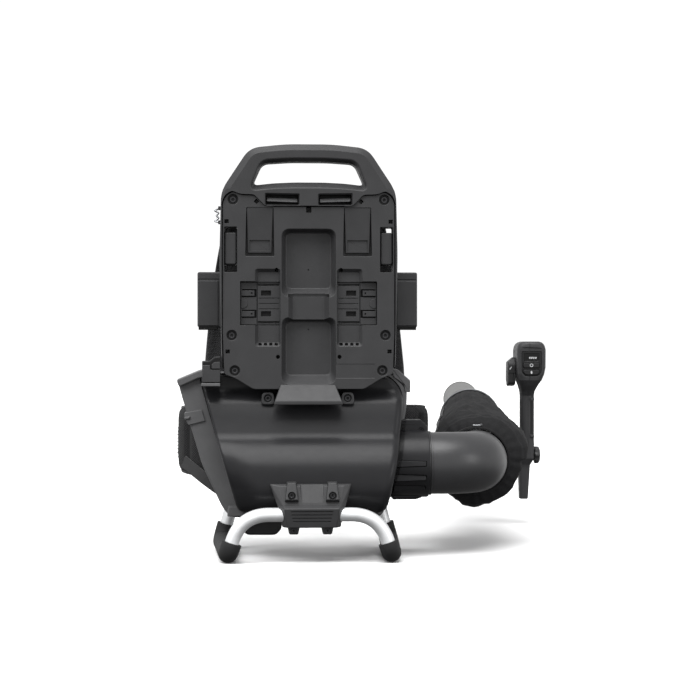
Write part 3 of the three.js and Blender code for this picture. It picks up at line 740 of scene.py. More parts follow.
def make_rest():
    """The sloping ledge that the battery stands on, and the two screw ears beside it."""
    ledge = hull("ledge", [
        (-36.5, -0.3, 232.4), (34.5, -0.3, 232.4), (-44.6, -18, 211), (42.6, -18, 211),
        (-45.6, -18, 206), (43.6, -18, 206), (-45.6, -0.3, 206), (43.6, -0.3, 206),
    ], 1.3)
    piece(ledge, "casing", ["battery_rest"])
    for side, sign in SIDES:
        x = sign * 52 - 1
        ear = slab("ear", rounded([(x - 9, 206), (x - 7.5, 222), (x + 7.5, 222), (x + 9, 206)], 5),
                   "Y", 4.5, 20, (1.2, 0.4))
        ear = cut(ear, pocket(circle(x, 214, 5.2), "Y", 4.5, 8.4, circle(x, 214, 4.8), 0.8, 0.4))
        ear.name = f"screw-ear-{side}"
        piece(ear, "casing")
        screw(f"ear-screw-{side}", (x, 6.4, 214), (0, -1, 0), "backpack", 3.9)


make_rest()


# ---------------------------------------------------------------- carrying frame

FRAME_OUTLINE = mirrored([(113, 247), (116, 400), (114, 484), (77, 540), (30, 545)])


def grip_outline(foot, base, shoulder, top, radius):
    """The hand opening: wider at its foot, with a gently arched foot and top."""
    half = [(20, base + 4.4), (48, base + 3), (foot, base), (shoulder, top), (24, top + 2.4)]
    return rounded(mirrored(half), radius, 8)


def make_carry_frame():
    outline = rounded(FRAME_OUTLINE, 14, 8)
    lower = common(slab("frame", outline, "Y", FRAME_FRONT, FRAME_BACK, (4.5, 3.5), 5),
                   slab("below", rectangle(-130, 130, 240, 486, 0), "Y", -10, 40, (0, 0), 1))
    upper = common(slab("handle", outline, "Y", FRAME_FRONT, FRAME_BACK, (8.5, 4), 1),
                   slab("above", rectangle(-130, 130, 485, 560, 0), "Y", -10, 40, (0, 0), 1))
    body = join(lower, upper)
    grip = hole(grip_outline(73, 491, 60, 520, 8), "Y", FRAME_FRONT, FRAME_BACK, 5)
    scoop = pocket(grip_outline(77, 484.5, 62, 523, 10), "Y", FRAME_FRONT, 10,
                   grip_outline(71.5, 492.5, 59, 518.5, 8), 2.5, 0.4)
    seat = slab("seat",
                rounded([(p[0] + math.copysign(1.0, p[0]), p[1] + (1.0 if p[1] > 260 else -26))
                                 for p in mirrored(PLATE_HALF)], 4),
                "Y", FRAME_FRONT - 1, PLATE_BACK + 0.4, (0.1, 0.1))
    slots = []
    for sign in (-1, 1):
        tilt = lambda x, z: (sign * x, z + 0.035 * x)
        outer = rounded([tilt(12, 464.4), tilt(57, 463.0), tilt(57, 478.6), tilt(12, 479.4)], 2)
        inner = rounded([tilt(13, 465.2), tilt(56, 463.8), tilt(56, 477.4), tilt(13, 478.2)], 1.5)
        slots += [pocket(outer, "Y", FRAME_FRONT, 0, inner, 0.8, 0.3),
                  pocket(inner, "Y", FRAME_FRONT + 2, 22, None, 0.2, 0.3)]
    frame_piece = cut(body, grip, scoop, seat, *slots, side_slot(-1, 0, FRAME_BACK),
                      side_slot(1, 0, FRAME_BACK))
    piece(frame_piece, "casing", ["carry_frame"])
    for side, sign in SIDES:
        # Painted shade: a near-black block fills each top slot behind its bar, for the shade in the
        # slot.
        shade_block = slab(f"slot-lining-{side}", rectangle(sign * 12.6, sign * 56.4, 464.4, 480.6, 1.5),
                      "Y", 13, 21, (0.2, 0.2))
        piece(shade_block, "dark")
        bar = hull(f"slot-bar-{side}", [
            (sign * x, y, z + 0.035 * x) for x in (14.5, 54.5)
            for y, z in ((0, 468.2), (14, 468.2), (3, 473.4), (14, 474))
        ], 0.8)
        piece(bar, "casing")
        guide = slab(f"strap-guide-{side}", rectangle(sign * 94, sign * 109.2, 388, 430, 3),
                     "Y", 4, 50, (2.0, 0.5))
        piece(guide, "casing")


make_carry_frame()


# ---------------------------------------------------------------- fan housing

OUTER_OUTLINE = [(-92, 66), (99, 66), (114, 131), (124, 200), (124, 224), (107, 243), (-143, 245)]
OUTER_PROFILE = [
    (60, 60), (-20, 66), (-33, 78), (-39, 92), (-40, 104), (-38.5, 118), (-34.5, 131), (-28, 143),
    (-18.5, 154), (-6, 164), (0, 180), (6, 197), (12, 212), (26, 224), (26, 262),
]  # (y, z) up the front face
INNER_OUTLINE = [
    (-101, 56), (98, 56), (104, 71), (119, 131), (131, 200), (132, 225),
    (113, 246), (-141, 249), (-172, 238), (-166, 216), (-139, 125), (-112, 68),
]


def crossings(points, level, axis):
    """Where the closed outline crosses `level` on one axis: the other coordinates, sorted."""
    found = []
    for a, b in zip(points, points[1:] + points[:1]):
        if (a[axis] - level) * (b[axis] - level) <= 0 and a[axis] != b[axis]:
            t = (level - a[axis]) / (b[axis] - a[axis])
            found.append(a[1 - axis] + t * (b[1 - axis] - a[1 - axis]))
    return sorted(found)


def housing_front(z):
    curve = rounded(OUTER_PROFILE, 6, 8)[9:-9]
    for a, b in zip(curve, curve[1:]):
        if a.y <= z <= b.y:
            return a.x + (b.x - a.x) * (z - a.y) / max(b.y - a.y, 1e-6)
    return curve[-1].x


def housing_ring(z, sides, corner, shrink=0.0):
    """One level of the fan housing's front half, from the parting plane round the front."""
    left, right = sides[0] + shrink, sides[-1] - shrink
    front = housing_front(z) + shrink
    back = PARTING - 0.2
    crease = -91 + 25 * min(max((158 - z) / 78, 0), 1)
    fold = 0.62 * min(max((158 - z) / 60, 0), 1)
    points = [(left, back)]
    reach = min(corner, (back - front) * 0.8)
    wide = corner + 6.5
    for k in range(9):
        a = math.pi / 2 * k / 8
        points.append((left + corner * (1 - math.cos(a)), front + reach * (1 - math.sin(a))))
    start, end = left + corner, right - wide
    points += [(start + (end - start) * k / 24, front) for k in range(1, 24)]
    for k in range(9):
        a = math.pi / 2 * k / 8
        points.append((right - wide * (1 - math.sin(a)), front + 2 * reach * (1 - math.cos(a))))
    points.append((right, back))
    ring = []
    for x, y in points:
        drop = fold * math.log1p(math.exp((crease - x) / 1.3)) * 1.3
        ring.append((x, min(y + drop, back), z))
    return ring


def make_housing_outer():
    outline = [tuple(p) for p in rounded(OUTER_OUTLINE, 12, 6)]
    heights = [66.5 + 176 * k / 88 for k in range(89)]
    rings = [housing_ring(z, crossings(outline, z, 1), 4.5) for z in heights]
    low_inset, top_inset = [], []
    for inset, depth in ((6, 0.2), (3.2, 0.9), (1.2, 2.4)):
        low_inset.append([(x * (1 - inset / 110), y + inset * (y < 40), 66.5 - 2.4 + depth - 0.3)
                          for x, y, _ in rings[0]])
    for inset, lift in ((0.5, 0.6), (1.6, 1.1), (3.5, 1.4)):
        top_inset.append([(x * (1 - inset / 120), y + inset * (y < 40), 242.5 + lift)
                          for x, y, _ in rings[-1]])
    shell = skin("housing", low_inset + rings + top_inset)
    hollow = skin("hollow", [
        [(x, y + 1 if abs(y - PARTING + 0.2) < 0.01 else y, z) for x, y, z in
         housing_ring(z, crossings(outline, z, 1), 3.5, 3)] for z in heights[3:-4:4]
    ])
    piece(cut(shell, hollow), "housing", ["housing_outer"], sharp=50)


make_housing_outer()


def make_housing_inner():
    shell = slab("inner-housing", rounded(INNER_OUTLINE, 8), "Y", PARTING + 0.2, HOUSING_BACK,
                 (3.5, 5), 4)
    inside = slab("inside", grown(rounded(INNER_OUTLINE, 8), -3), "Y", PARTING - 2,
                  HOUSING_BACK - 3, (0.1, 3))
    intake = hole(circle(FAN_X, FAN_Z, 58, 96), "Y", HOUSING_BACK - 3, HOUSING_BACK, 2)
    piece(cut(shell, inside, intake), "inner", ["housing_inner"])
    flange = slab("housing-flange", rounded(INNER_OUTLINE, 8), "Y", 41.5, PARTING + 3,
                  (3.2, 0.2), 4)
    window = hole(grown(rounded(OUTER_OUTLINE, 12), 1.5), "Y", 41.5, PARTING + 3, 0.4)
    piece(cut(flange, window), "inner")
    # Painted shade: a near-black slab at the bottom of the parting gap round the outer half makes
    # the gap read as shaded.
    seam = slab("housing-seam", grown(rounded(OUTER_OUTLINE, 12), 1.4), "Y", 43.4, PARTING + 1,
                (0.2, 0.2))
    piece(seam, "dark")
    cap_left = slab("housing-cap-left", rounded([
        (-173, 238), (-169.5, 228), (-143, 240), (-119, 242), (-118, 251), (-142, 251)], 4),
        "Y", 34, HOUSING_BACK - 6, (2.2, 1.0), 4)
    piece(cap_left, "inner")
    cap_right = slab("housing-cap-right", rounded([
        (111, 253), (119, 251.5), (136, 236.5), (136, 221), (128.5, 221), (127.5, 231),
        (113, 241.5)], 1.5),
        "Y", 40, HOUSING_BACK - 6, (1.2, 0.8))
    piece(cap_right, "inner")
    clip = slab("housing-clip", rounded([
        (-163, 194.5), (-139.5, 198.5), (-135, 183.5), (-157, 178), (-161.5, 186)], 1.5), "Y", 39.4,
                96, (0.9, 0.9))
    piece(clip, "inner")
    catch = hull("housing-catch", [
        (-163.5, 40, 189), (-154, 40, 190.5), (-154, 40, 186), (-162, 40, 184.5),
        (-161, 37, 188), (-156, 37, 189), (-156, 37, 187), (-160, 37, 186)], 0.5)
    piece(catch, "inner")
    lug = hull("housing-lug", [
        (-106, 36, 58), (-84, 36, 58), (-86, 36, 70), (-104, 36, 71), (-106, 46, 57), (-82, 46, 57),
        (-84, 46, 72),
        (-106, 46, 73)], 1.2)
    piece(lug, "inner")
    for number, (x, z) in enumerate([(-150, 225), (-120, 100), (-90, 66), (80, 66), (110, 100),
                                     (122, 222)], 1):
        boss = turned(f"housing-boss-{number}",
                      [(6.5, 0), (6.5, 1.4), (6.0, 1.9), (4.6, 1.9), (4.4, 0.6)],
                      (x, HOUSING_BACK - 0.4, z), (0, 1, 0), 40)
        piece(boss, "inner")
        screw(f"housing-screw-{number}", (x, HOUSING_BACK + 1.2, z), (0, 1, 0),
              "backpack", 3.9, 1.1)


make_housing_inner()


def make_fan_guard():
    """A domed intake grille of rings and spokes."""
    rim = turned("guard", [(57, 0), (62.6, 0), (62.6, 1.6), (61.8, 2.4), (57.8, 2.4), (57, 1.6)],
                 (FAN_X, HOUSING_BACK + 0.4, FAN_Z), (0, 1, 0), 96, close=True)
    rings = [turned("guard-ring", [(r - 1.1, 0.3), (r + 1.1, 0.3), (r + 1.1, 1.9), (r - 1.1, 1.9)],
                    (FAN_X, HOUSING_BACK + 0.4, FAN_Z), (0, 1, 0), 72, close=True)
             for r in (12, 21, 30, 39, 48)]
    hub = turned("guard-hub", [(0.01, 0), (7, 0), (7, 2.0), (6.2, 2.6), (0.01, 2.8)],
                 (FAN_X, HOUSING_BACK + 0.4, FAN_Z), (0, 1, 0), 48)
    spokes = []
    for k in range(8):
        a = 2 * math.pi * k / 8 + 0.2
        side = Vector((-math.sin(a), 0, math.cos(a)))
        out = Vector((math.cos(a), 0, math.sin(a)))
        centre = Vector((FAN_X, HOUSING_BACK + 0.6, FAN_Z))
        points = [centre + out * r + side * s + Vector((0, y, 0)) for r in (5, 59)
                  for s in (-1.3, 1.3)
                  for y in (0, 1.9)]
        spokes.append(hull("spoke", points, 0.3))
    piece(join(rim, *rings, hub, *spokes), "black", ["fan_guard"])


make_fan_guard()


def make_lower_cover():
    cover = slab("lower-cover",
                 rounded([(-80, 31), (-42, 31), (-34, 39), (-34, 55.4), (-88, 55.4), (-88, 39)], 4),
                 "Y", 58, 98, (3, 2.4), 4)
    piece(cover, "housing", ["lower_cover"])


make_lower_cover()


# ---------------------------------------------------------------- side parts of the frame

def panel_y(z, out=0.0):
    """The harness panel's front face at height z, `out` millimetres behind it."""
    low, high = (PANEL_KNEE, PANEL_TOP) if z > PANEL_KNEE[1] else (PANEL_FOOT, PANEL_KNEE)
    return low[0] + (high[0] - low[0]) * (z - low[1]) / (high[1] - low[1]) + out


def make_yoke():
    """The cross beam: its two ends show as blocks beside the carrying frame."""
    section = rounded([(44, 307), (panel_y(307, -0.5), 307), (panel_y(380, -0.5), 380),
                       (44, 380)], 2.5)
    beam = slab("yoke", section, "X", -145.5, 145.5, (2.5, 2.5))
    grooves = [
        pocket(rectangle(sign * 117, sign * 149, 369.6, 370.8, 0.3), "Y", 44, 45, None, 0.4, 0.1)
        for sign in (-1, 1)
    ]
    piece(cut(beam, *grooves), "casing", ["harness_yoke"])
    for side, sign in SIDES:
        cap = slab(f"yoke-cap-{side}", rectangle(sign * 118, sign * 144.6, 309, 368.5, 1.5), "Y",
                   42.8, 46, (1.0, 0.1))
        piece(cap, "casing")
        # Painted shadow: a near-black strip under each yoke end stands for the shade beneath it.
        under_shade = hull(f"yoke-skirt-{side}", [
            (sign * x, y, z) for x in (119, 144)
            for y, z in ((45, 303.5), (45, 308), (60, 304), (60, 308))], 0.8)
        piece(under_shade, "dark")


make_yoke()


def make_connector():
    """The battery's power connector at the frame's lower left, with its latch and hood."""
    outline = [(-138, 235), (-138, 257.4), (-127.8, 257.4), (-127.8, 251.6), (-115, 251.6),
               (-115, 235)]
    body = slab("connector", rounded(outline, 1.2), "Y", -5, 24.5, (0.8, 0.8))
    piece(body, "casing", ["battery_connector"])
    latch = slab("connector-latch", rounded([
        (-126, 252.6), (-126, 258), (-122.5, 261.3), (-115, 261.8), (-115, 252.6)], 1.2), "Y", -6,
                 18, (0.8, 0.5))
    piece(latch, "casing")
    # Painted shade: a near-black block between the latch and the hood stands for the shade between
    # them.
    gap = slab("connector-gap", rounded([
        (-137, 240), (-137, 261.6), (-128.5, 261.6), (-122, 267), (-115.4, 267.4),
        (-115.4, 240)], 1.2),
        "Y", -2, 20, (0.5, 0.5))
    piece(gap, "dark")
    hood = slab("connector-hood", rounded([
        (-138.4, 244), (-138.4, 262.8), (-128.8, 262.8), (-122.4, 268.2), (-114.8, 268.6),
        (-114.8, 244)], 1.2),
        "Y", 0.5, 22, (0.5, 0.5))
    piece(hood, "casing")
    lip = hull("connector-lip", [
        (x, y, z) for x in (-139.5, -115)
        for y, z in ((-8, 230), (-8, 234), (24, 230), (24, 234))], 0.8)
    piece(lip, "inner")


make_connector()


def make_clip():
    path = eased([
        (-113, 18, 443), (-122.5, 23, 445.5), (-117, 24, 449.5), (-120.5, 25, 453),
        (-117, 26, 456.5),
        (-123, 27, 460), (-113, 31, 464)], [1.6], 0.6)
    piece(pipe("harness-clip", path, 1.25, 16, end_round=1.0), "steel", ["harness_clip"])
    for number, (z, y) in enumerate(((444, 22), (463, 29)), 1):
        eye = block(f"clip-eye-{number}", (-118, -114.5), (y - 4, y + 4), (z - 2.4, z + 2.4), 0.8)
        piece(eye, "casing")


make_clip()

both_sides(lambda side, sign: piece(
    turned(f"damper-{side}", [(8.6, 0), (9.8, 0.8), (8.8, 2.4), (8.8, 6.6), (9.8, 8.2), (8.6, 9.2)],
           (sign * 70, FRAME_BACK + 0.4, 343), (0, 1, 0), 40), "rubber", [f"damper_{side}"]))


# ---------------------------------------------------------------- stand

STAND_REACHES = [20, 13, 36]


def stand_side(sign):
    floor = GROUND + FOOT_RADIUS
    return [Vector(p) for p in (
        (sign * 94, 128, 90), (sign * 114, 131, floor), (sign * 104, ARCH_Y, floor),
        (sign * 88, ARCH_Y, ARCH_Z))]


def make_stand():
    path = eased([*stand_side(1), *reversed(stand_side(-1))],
                 [*STAND_REACHES, *reversed(STAND_REACHES)], 2.5)
    piece(pipe("stand-tube", path, STAND_RADIUS, 40, bore=STAND_RADIUS - 1.5), "aluminium",
          ["stand_tube"])
    for side, sign in SIDES:
        top, rear, front, arch = stand_side(sign)
        sleeve = eased([rear.lerp(top, 0.31), rear, front, front.lerp(arch, 0.28)],
                       STAND_REACHES, 2.5)
        made = pipe(f"foot-{side}", sleeve, FOOT_RADIUS - 0.2, 36, bore=STAND_RADIUS + 0.2)
        rounding = made.modifiers.new("rounding", "BEVEL")
        rounding.width = 1.4 * MM
        rounding.segments = 3
        rounding.angle_limit = math.radians(50)
        settle(made)
        piece(made, "rubber", [f"foot_{side}"])
        direction = (top - rear).normalized()
        across = sorted((sign * 80, sign * 110))
        clamp = block(f"leg-clamp-{side}", across, (116.8, 141), (72, 90.2), 2.0)
        bore = turned("bore", [(STAND_RADIUS + 0.5, -40), (STAND_RADIUS + 0.5, 60)],
                      top - direction * 30, direction, 40)
        piece(cut(clamp, bore), "black", [f"leg_clamp_{side}"])
        for number, x in enumerate((83.8, 106.2), 1):
            screw(f"leg-screw-{side}-{number}", (sign * x, 142, 76 if number == 1 else 86),
                  (0, 1, 0), "backpack",
                  2.8, 1.1)


make_stand()


def make_bracket():
    """The bracket that holds the stand's arch to the housing: a dished plate over a ribbed grip."""
    y_back = -41.2
    plate = hull("stand-bracket", [
        (-51.5, y_back, 106), (53.5, y_back, 106), (-40, y_back, 76), (45, y_back, 76),
        (-51, -45, 106),
        (53, -45, 106), (-40, -50, 104), (44, -50, 104), (-34.5, -60, 77), (38.5, -60, 77),
        (-41, -52, 77),
        (45, -52, 77)], 1.2)
    grip = hull("grip", [
        (-35.5, y_back, 51), (39.5, y_back, 51), (-40, y_back, 79), (44, y_back, 79),
        (-29, -64, 51.5),
        (33, -64, 51.5), (-35, -52, 51.5), (39, -52, 51.5), (-33, -68, 76), (37, -68, 76),
        (-40.5, -55, 79),
        (44.5, -55, 79), (-34, -61, 80), (38, -61, 80)], 1.4)
    tabs = [hull("tab", [(x + a, y, z)
                         for a, z in ((-8.4, 54), (8.4, 54), (-5.6, 42.5), (5.6, 42.5))
                         for y in (y_back, -57)], 1.6)
            for x in (-21, 22)]
    bosses = [hull("boss", [
        (x - 6.5, y_back, 109), (x + 6.5, y_back, 109), (x - 9.6, y_back, 84),
        (x + 9.6, y_back, 84),
        (x - 5.4, -55, 108), (x + 5.4, -55, 108), (x - 8, -63, 87), (x + 8, -63, 87),
        (x - 9, -58, 84),
        (x + 9, -58, 84)], 1.0)
        for x in (-23.5, 28.5)]
    dish = pocket(rounded([(-12, 81), (17, 81), (18.5, 108), (-13.5, 108)], 2), "Y", -70,
                  lambda u, v: -58.5 + (v - 81) * 0.48, None, 0.5, 2)
    recesses = [pocket(circle(x, 92, 5.4), "Y", -66, -56, circle(x, 92, 5.1), 0.6, 0.4)
                for x in (-23.5, 28.5)]
    recesses += [pocket(circle(x, 47.2, 4.2), "Y", -60, -54.6, circle(x, 47.2, 3.9), 0.5, 0.3)
                 for x in (-21, 22)]
    grooves = [pocket(rectangle(-25 + k * 0.8, 29 - k * 0.8, z - 0.9, z + 0.9, 0.7), "Y", -72,
                      -64.8 + k * 0.45, None, 0.4, 0.3)
               for k, z in enumerate((72.5, 68.3, 64.1, 59.9))]
    body = join(plate, grip, *tabs, *bosses)
    piece(cut(body, dish, *recesses, *grooves), "casing", ["stand_bracket"], sharp=32)
    for number, (x, z, y) in enumerate([(-23.5, 92, -57.6), (28.5, 92, -57.6), (-21, 47.2, -56.2),
                                        (22, 47.2, -56.2)], 1):
        screw(f"bracket-screw-{number}", (x, y, z), (0, -1, 0), "backpack", 3.6, 1.2)


make_bracket()


# ---------------------------------------------------------------- duct

def housing_side():
    """The housing's flank as a cutter, for what is fitted against it."""
    outline = rounded([(60, 40), (98, 40), (106.5, 71), (121.5, 131), (134, 205), (60, 205)], 0)
    return slab("side", outline, "Y", -40, 130, (0.1, 0.1), 1)


def make_collar():
    """The outlet collar: a sleeve with three tapered ribs in front and a screwed flange on top."""
    centre = (0, PARTING, OUTLET_Z)
    sleeve = turned("collar", [
        (38.8, 104), (44.4, 104), (45, 106), (45, 157.6), (44.2, 159.2), (42, 159.2), (41.6, 158.4),
        (41.6, 140.5), (38.8, 140.5)], centre, (1, 0, 0), 96, close=True)
    flange = hull("flange", [
        (118, PARTING + y, z) for y in (-9, 9) for z in (165, 185)] + [
        (150, PARTING + y, 185) for y in (-7.5, 7.5)] + [
        (158.5, PARTING + y, 176) for y in (-6.5, 6.5)] + [
        (158.5, PARTING + y, 165) for y in (-6.5, 6.5)], 1.4)
    foot = hull("foot", [
        (112, PARTING + y, 82) for y in (-14, 14)] + [(150, PARTING + y, 82) for y in (-12, 12)] + [
        (143, PARTING + y, 79.5) for y in (-10, 10)] + [(112, PARTING + y, 79.5)
                                                        for y in (-12, 12)] + [
        (150, PARTING + y, 90) for y in (-12, 12)] + [(112, PARTING + y, 90)
                                                      for y in (-14, 14)], 0.8)
    centre_y = lambda z: PARTING - math.sqrt(45 ** 2 - (z - OUTLET_Z) ** 2)
    cutters = [housing_side()]
    ribs = []
    for z, low, high in ((128.5, 4.6, 2.9), (110, 5.0, 3.1), (95.5, 4.4, 2.9)):
        surface = centre_y(z)
        outline = rounded([(100, z - low - 1.3), (154.6, z - high - 1.1), (154.6, z + high + 1.1),
                           (100, z + low + 1.3)], 1.5)
        cutters.append(pocket(outline, "Y", -8, surface + 3.2, None, 0.1, 0.4))
        ribs.append(hull("rib", [
            (x, y, z + sign * half) for x, half in ((112, low), (153.5, high)) for sign, y in (
                (-1, surface - 0.6 + (z < 105) * 2), (1, surface + 0.4 - (z < 105) * 1.2),
                (-1, surface + 5.5), (1, surface + 5.5))
        ], 0.8))
    screw_seat = pocket(circle(150, 171.5, 3.4), "Y", PARTING - 10, PARTING - 4.2,
                        circle(150, 171.5, 3.2), 0.5, 0.3)
    split = pocket(rectangle(118, 160, 178.2, 178.9, 0.2), "Y", PARTING - 12, PARTING - 6.2,
                   None, 0.3, 0.1)
    body = cut(join(sleeve, flange, foot), *cutters, screw_seat, split)
    piece(body, "housing", ["outlet_collar"], sharp=34)
    for number, rib in enumerate(ribs, 1):
        trimmed = cut(rib, housing_side())
        trimmed.name = f"collar-rib-{number}"
        piece(trimmed, "housing")
    screw("collar-screw", (150, PARTING - 5.2, 171.5), (0, -1, 0), "backpack", 2.8, 1.2)


make_collar()


def make_elbow():
    path = eased([(ELBOW_X0, PARTING, OUTLET_Z), (ELBOW_X1, PARTING, OUTLET_Z),
                  (ELBOW_X1, ELBOW_Y1, OUTLET_Z)],
                 [ELBOW_BEND], 2)
    elbow = pipe("elbow", path, DUCT_RADIUS, 96, bore=DUCT_RADIUS - 3)
    piece(elbow, "duct", ["elbow_pipe"], body="elbow")
    bead = turned("elbow-bead", [(40.5, 0), (42.3, 0.6), (42.3, 2.4), (40.5, 3)],
                  (160.6, PARTING, OUTLET_Z), (1, 0, 0),
                  96, close=True)
    piece(bead, "duct", body="elbow")


make_elbow()

HOSE_STATIONS = [
    (98, 231.5, 127, 44.0), (114, 231.5, 127, 44.0), (120, 233, 127, 53), (132, 237, 126, 62),
    (150, 240, 126, 66), (190, 243, 130, 66.5), (240, 247, 138, 62.5), (290, 251, 150, 56),
    (340, 254, 160, 51), (380, 256.5, 168, 47), (402, 258, 171, 44.0), (432, 260.7, 171.7, 44.0),
]  # (y, centre x, centre z, radius)
HOSE_SEAM = math.radians(158)  # where the sewn seam runs, round from +X towards +Z
TUBE_SWING = ((235, 200, 140), (252, 330, 158))  # two points along the hose; nothing bends the cloth between them


def hose_point(y, angle, out=0.0):
    """A point of the fabric hose with its gathers and soft folds."""
    stations = HOSE_STATIONS
    i = max(k for k in range(len(stations) - 1) if stations[k][0] <= y + 1e-6)
    low, high = stations[i], stations[i + 1]
    t = (y - low[0]) / (high[0] - low[0])
    t = t * t * (3 - 2 * t) * 0.5 + t * 0.5
    x, z, radius = (low[k] + (high[k] - low[k]) * t for k in (1, 2, 3))
    slack = min(max((y - 116) / 26, 0), max((398 - y) / 60, 0), 1)
    turn = Vector((math.cos(angle), math.sin(angle), 0))
    fold = noise.noise(Vector((turn.x * 1.3, turn.y * 1.3, y / 95)) + Vector((3.1, 0.4, 7.7)))
    crease = noise.noise(Vector((turn.x * 3.2 + y / 160, turn.y * 3.2, y / 42)))
    gather = math.sin(angle * 26 + 2.5 * crease) * math.exp(-((y - 119) / 14) ** 2)
    gather += math.sin(angle * 22 + 3.0 * crease) * math.exp(-((y - 396) / 18) ** 2)
    along = noise.noise(Vector((turn.x * 5 + 2, turn.y * 5, y / 210)))
    bulge = math.exp(-((angle - 0.25) / 0.42) ** 2) * math.exp(-((y - 170) / 55) ** 2)
    radius += slack * (6.0 * fold - 3.4 * abs(crease) - 3.0 * abs(along) + 9.0 * bulge)
    radius += 0.8 * gather + out
    return Vector((x + radius * turn.x, y, z + radius * turn.y))


def make_hose():
    sides = 144
    heights = [98 + 334 * k / 130 for k in range(131)]
    turns = [2 * math.pi * i / sides for i in range(sides)]
    outer = [[hose_point(y, a) for a in turns] for y in heights]
    inner = [[hose_point(y, a, -1.3) for a in turns] for y in reversed(heights)]
    hose = skin("fabric-hose", outer + inner, closed=True)
    seam_path = [hose_point(y, HOSE_SEAM, 0.8) for y in heights[2:-2]]
    centre = [hose_point(y, HOSE_SEAM, -40) for y in heights[2:-2]]
    axis = Vector((0, 1, 0))
    seam = band("hose-seam", seam_path, lambda i: (seam_path[i] - centre[i]).cross(axis), 9, 1.6)
    stitches = []
    for y in range(104, 428, 3):
        for shift in (-2.8, 2.8):
            a, b = (hose_point(y + step, HOSE_SEAM + shift / 58, 1.9) for step in (0, 1.9))
            stitches.append(pipe("stitch", [a, (a + b) / 2, b], 0.45, 6))
    threads = merge("hose-stitches", stitches)
    hems = []
    for name, y0, y1 in (("rear", 99, 113), ("front", 405, 431)):
        rings = [[hose_point(y, a, out) for a in turns] for y, out in (
            (y0, 0.2), (y0 + 0.5, 1.3), ((y0 + y1) / 2, 1.1), (y1 - 0.5, 1.3), (y1, 0.2),
            (y1 - 0.5, -0.3), (y0 + 0.5, -0.3))]
        hems.append(skin(f"hose-hem-{name}", rings, closed=True))
    piece(hose, "hose", ["fabric_hose"], sharp=80, body="elbow")
    piece(seam, "webbing", body="elbow")
    piece(threads, "thread", body="elbow")
    for hem in hems:
        piece(hem, "hose", sharp=80, body="elbow")
    for cloth in (hose, seam, threads, *hems):
        cloth.parent = None
        cloth.modifiers.clear()
        at(*TUBE_SWING[0])
        at(*TUBE_SWING[1])
        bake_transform(cloth)


def hose_clamp(name, centre, axis, body, radius, kind, side):
    """A band with its worm-screw housing on top (`side` 1) or underneath (-1)."""
    profile = [(radius, 0), (radius + 1.1, 0.3), (radius + 1.3, 2), (radius + 1.3, 7),
               (radius + 1.1, 8.7),
               (radius, 9)]
    strap = turned(name, profile, centre, axis, 120, close=True)
    piece(strap, kind, [name.replace("-", "_")], body=body)
    axis = Vector(axis).normalized()
    top = Vector(centre) + axis * 4.5 + Vector((0, 0, side * (radius + 2.2)))
    across = Vector((1, 0, 0))
    corners = [top + across * a + axis * b + Vector((0, 0, c))
               for a in (-5.5, 5.5) for b in (-4.2, 4.2) for c in (-1.2, 1.2)]
    piece(hull(f"{name}-housing", corners, 0.9), "steel", body=body)
    screw(f"{name}-screw", top + across * 8.2, across, body, 2.6, 3)


def on_tube(along):
    return TUBE_START + TUBE_AXIS * along


def make_tube():
    tube = turned("control-tube", [
        (37, 0), (40.2, 0), (41, 0.8), (41, 34), (40.4, 38), (39.5, 42), (39.5, 120), (38.9, 150),
        (38.6, 161),
        (38.2, 162), (36, 162)], TUBE_START, TUBE_AXIS, 96, close=True)
    piece(tube, "duct", ["control_tube"], body="tube")
    for number, along in enumerate((44, 146, 152), 1):
        ring = turned(f"tube-ring-{number}", [(38.6, 0), (40.6, 0.5), (40.6, 2.0), (38.6, 2.5)],
                      on_tube(along),
                      TUBE_AXIS, 96, close=True)
        piece(ring, "duct", body="tube")
    nozzle_length = (TUBE_END - TUBE_START).length - TUBE_LENGTH
    nozzle = turned("nozzle-shell", [
        (33.2, -34), (35.4, -34), (35.4, 0.4), (37.8, 0.6), (38.2, 1.2), (38.2, 9.2),
        (37.8, 10), (37, 14),
        (34, nozzle_length * 0.5), (31.1, nozzle_length - 7), (31.7, nozzle_length - 5.6),
        (32.3, nozzle_length - 4.4), (32.3, nozzle_length - 0.9), (31.7, nozzle_length),
        (29, nozzle_length)],
        on_tube(TUBE_LENGTH), TUBE_AXIS, 96, close=True)
    piece(nozzle, "nozzle", ["nozzle"], body="nozzle")
    for number, turn in enumerate((0.4, 2.5, 4.6), 1):
        side = Vector((1, 0, 0)) * math.cos(turn) + Vector((0, 0, 1)) * math.sin(turn)
        points = [on_tube(TUBE_LENGTH + along) + side * out + side.cross(TUBE_AXIS) * half
                  for along, out in ((11, 36), (11, 39.6), (44, 36), (40, 37.2))
                  for half in (-3, 3)]
        piece(hull(f"nozzle-key-{number}", points, 0.8), "nozzle", body="nozzle")


make_hose()
# Painted shade: the rear clamp band takes the near-black material so it reads as the shaded gap
# between the elbow and the cloth.
hose_clamp("hose-clamp-rear", (ELBOW_X1, 101, OUTLET_Z), (0, 1, 0), "elbow", 45.2, "dark", 1)
hose_clamp("hose-clamp-front", on_tube(14), TUBE_AXIS, "tube", 45.2, "steel", -1)
make_tube()


# ---------------------------------------------------------------- control handle

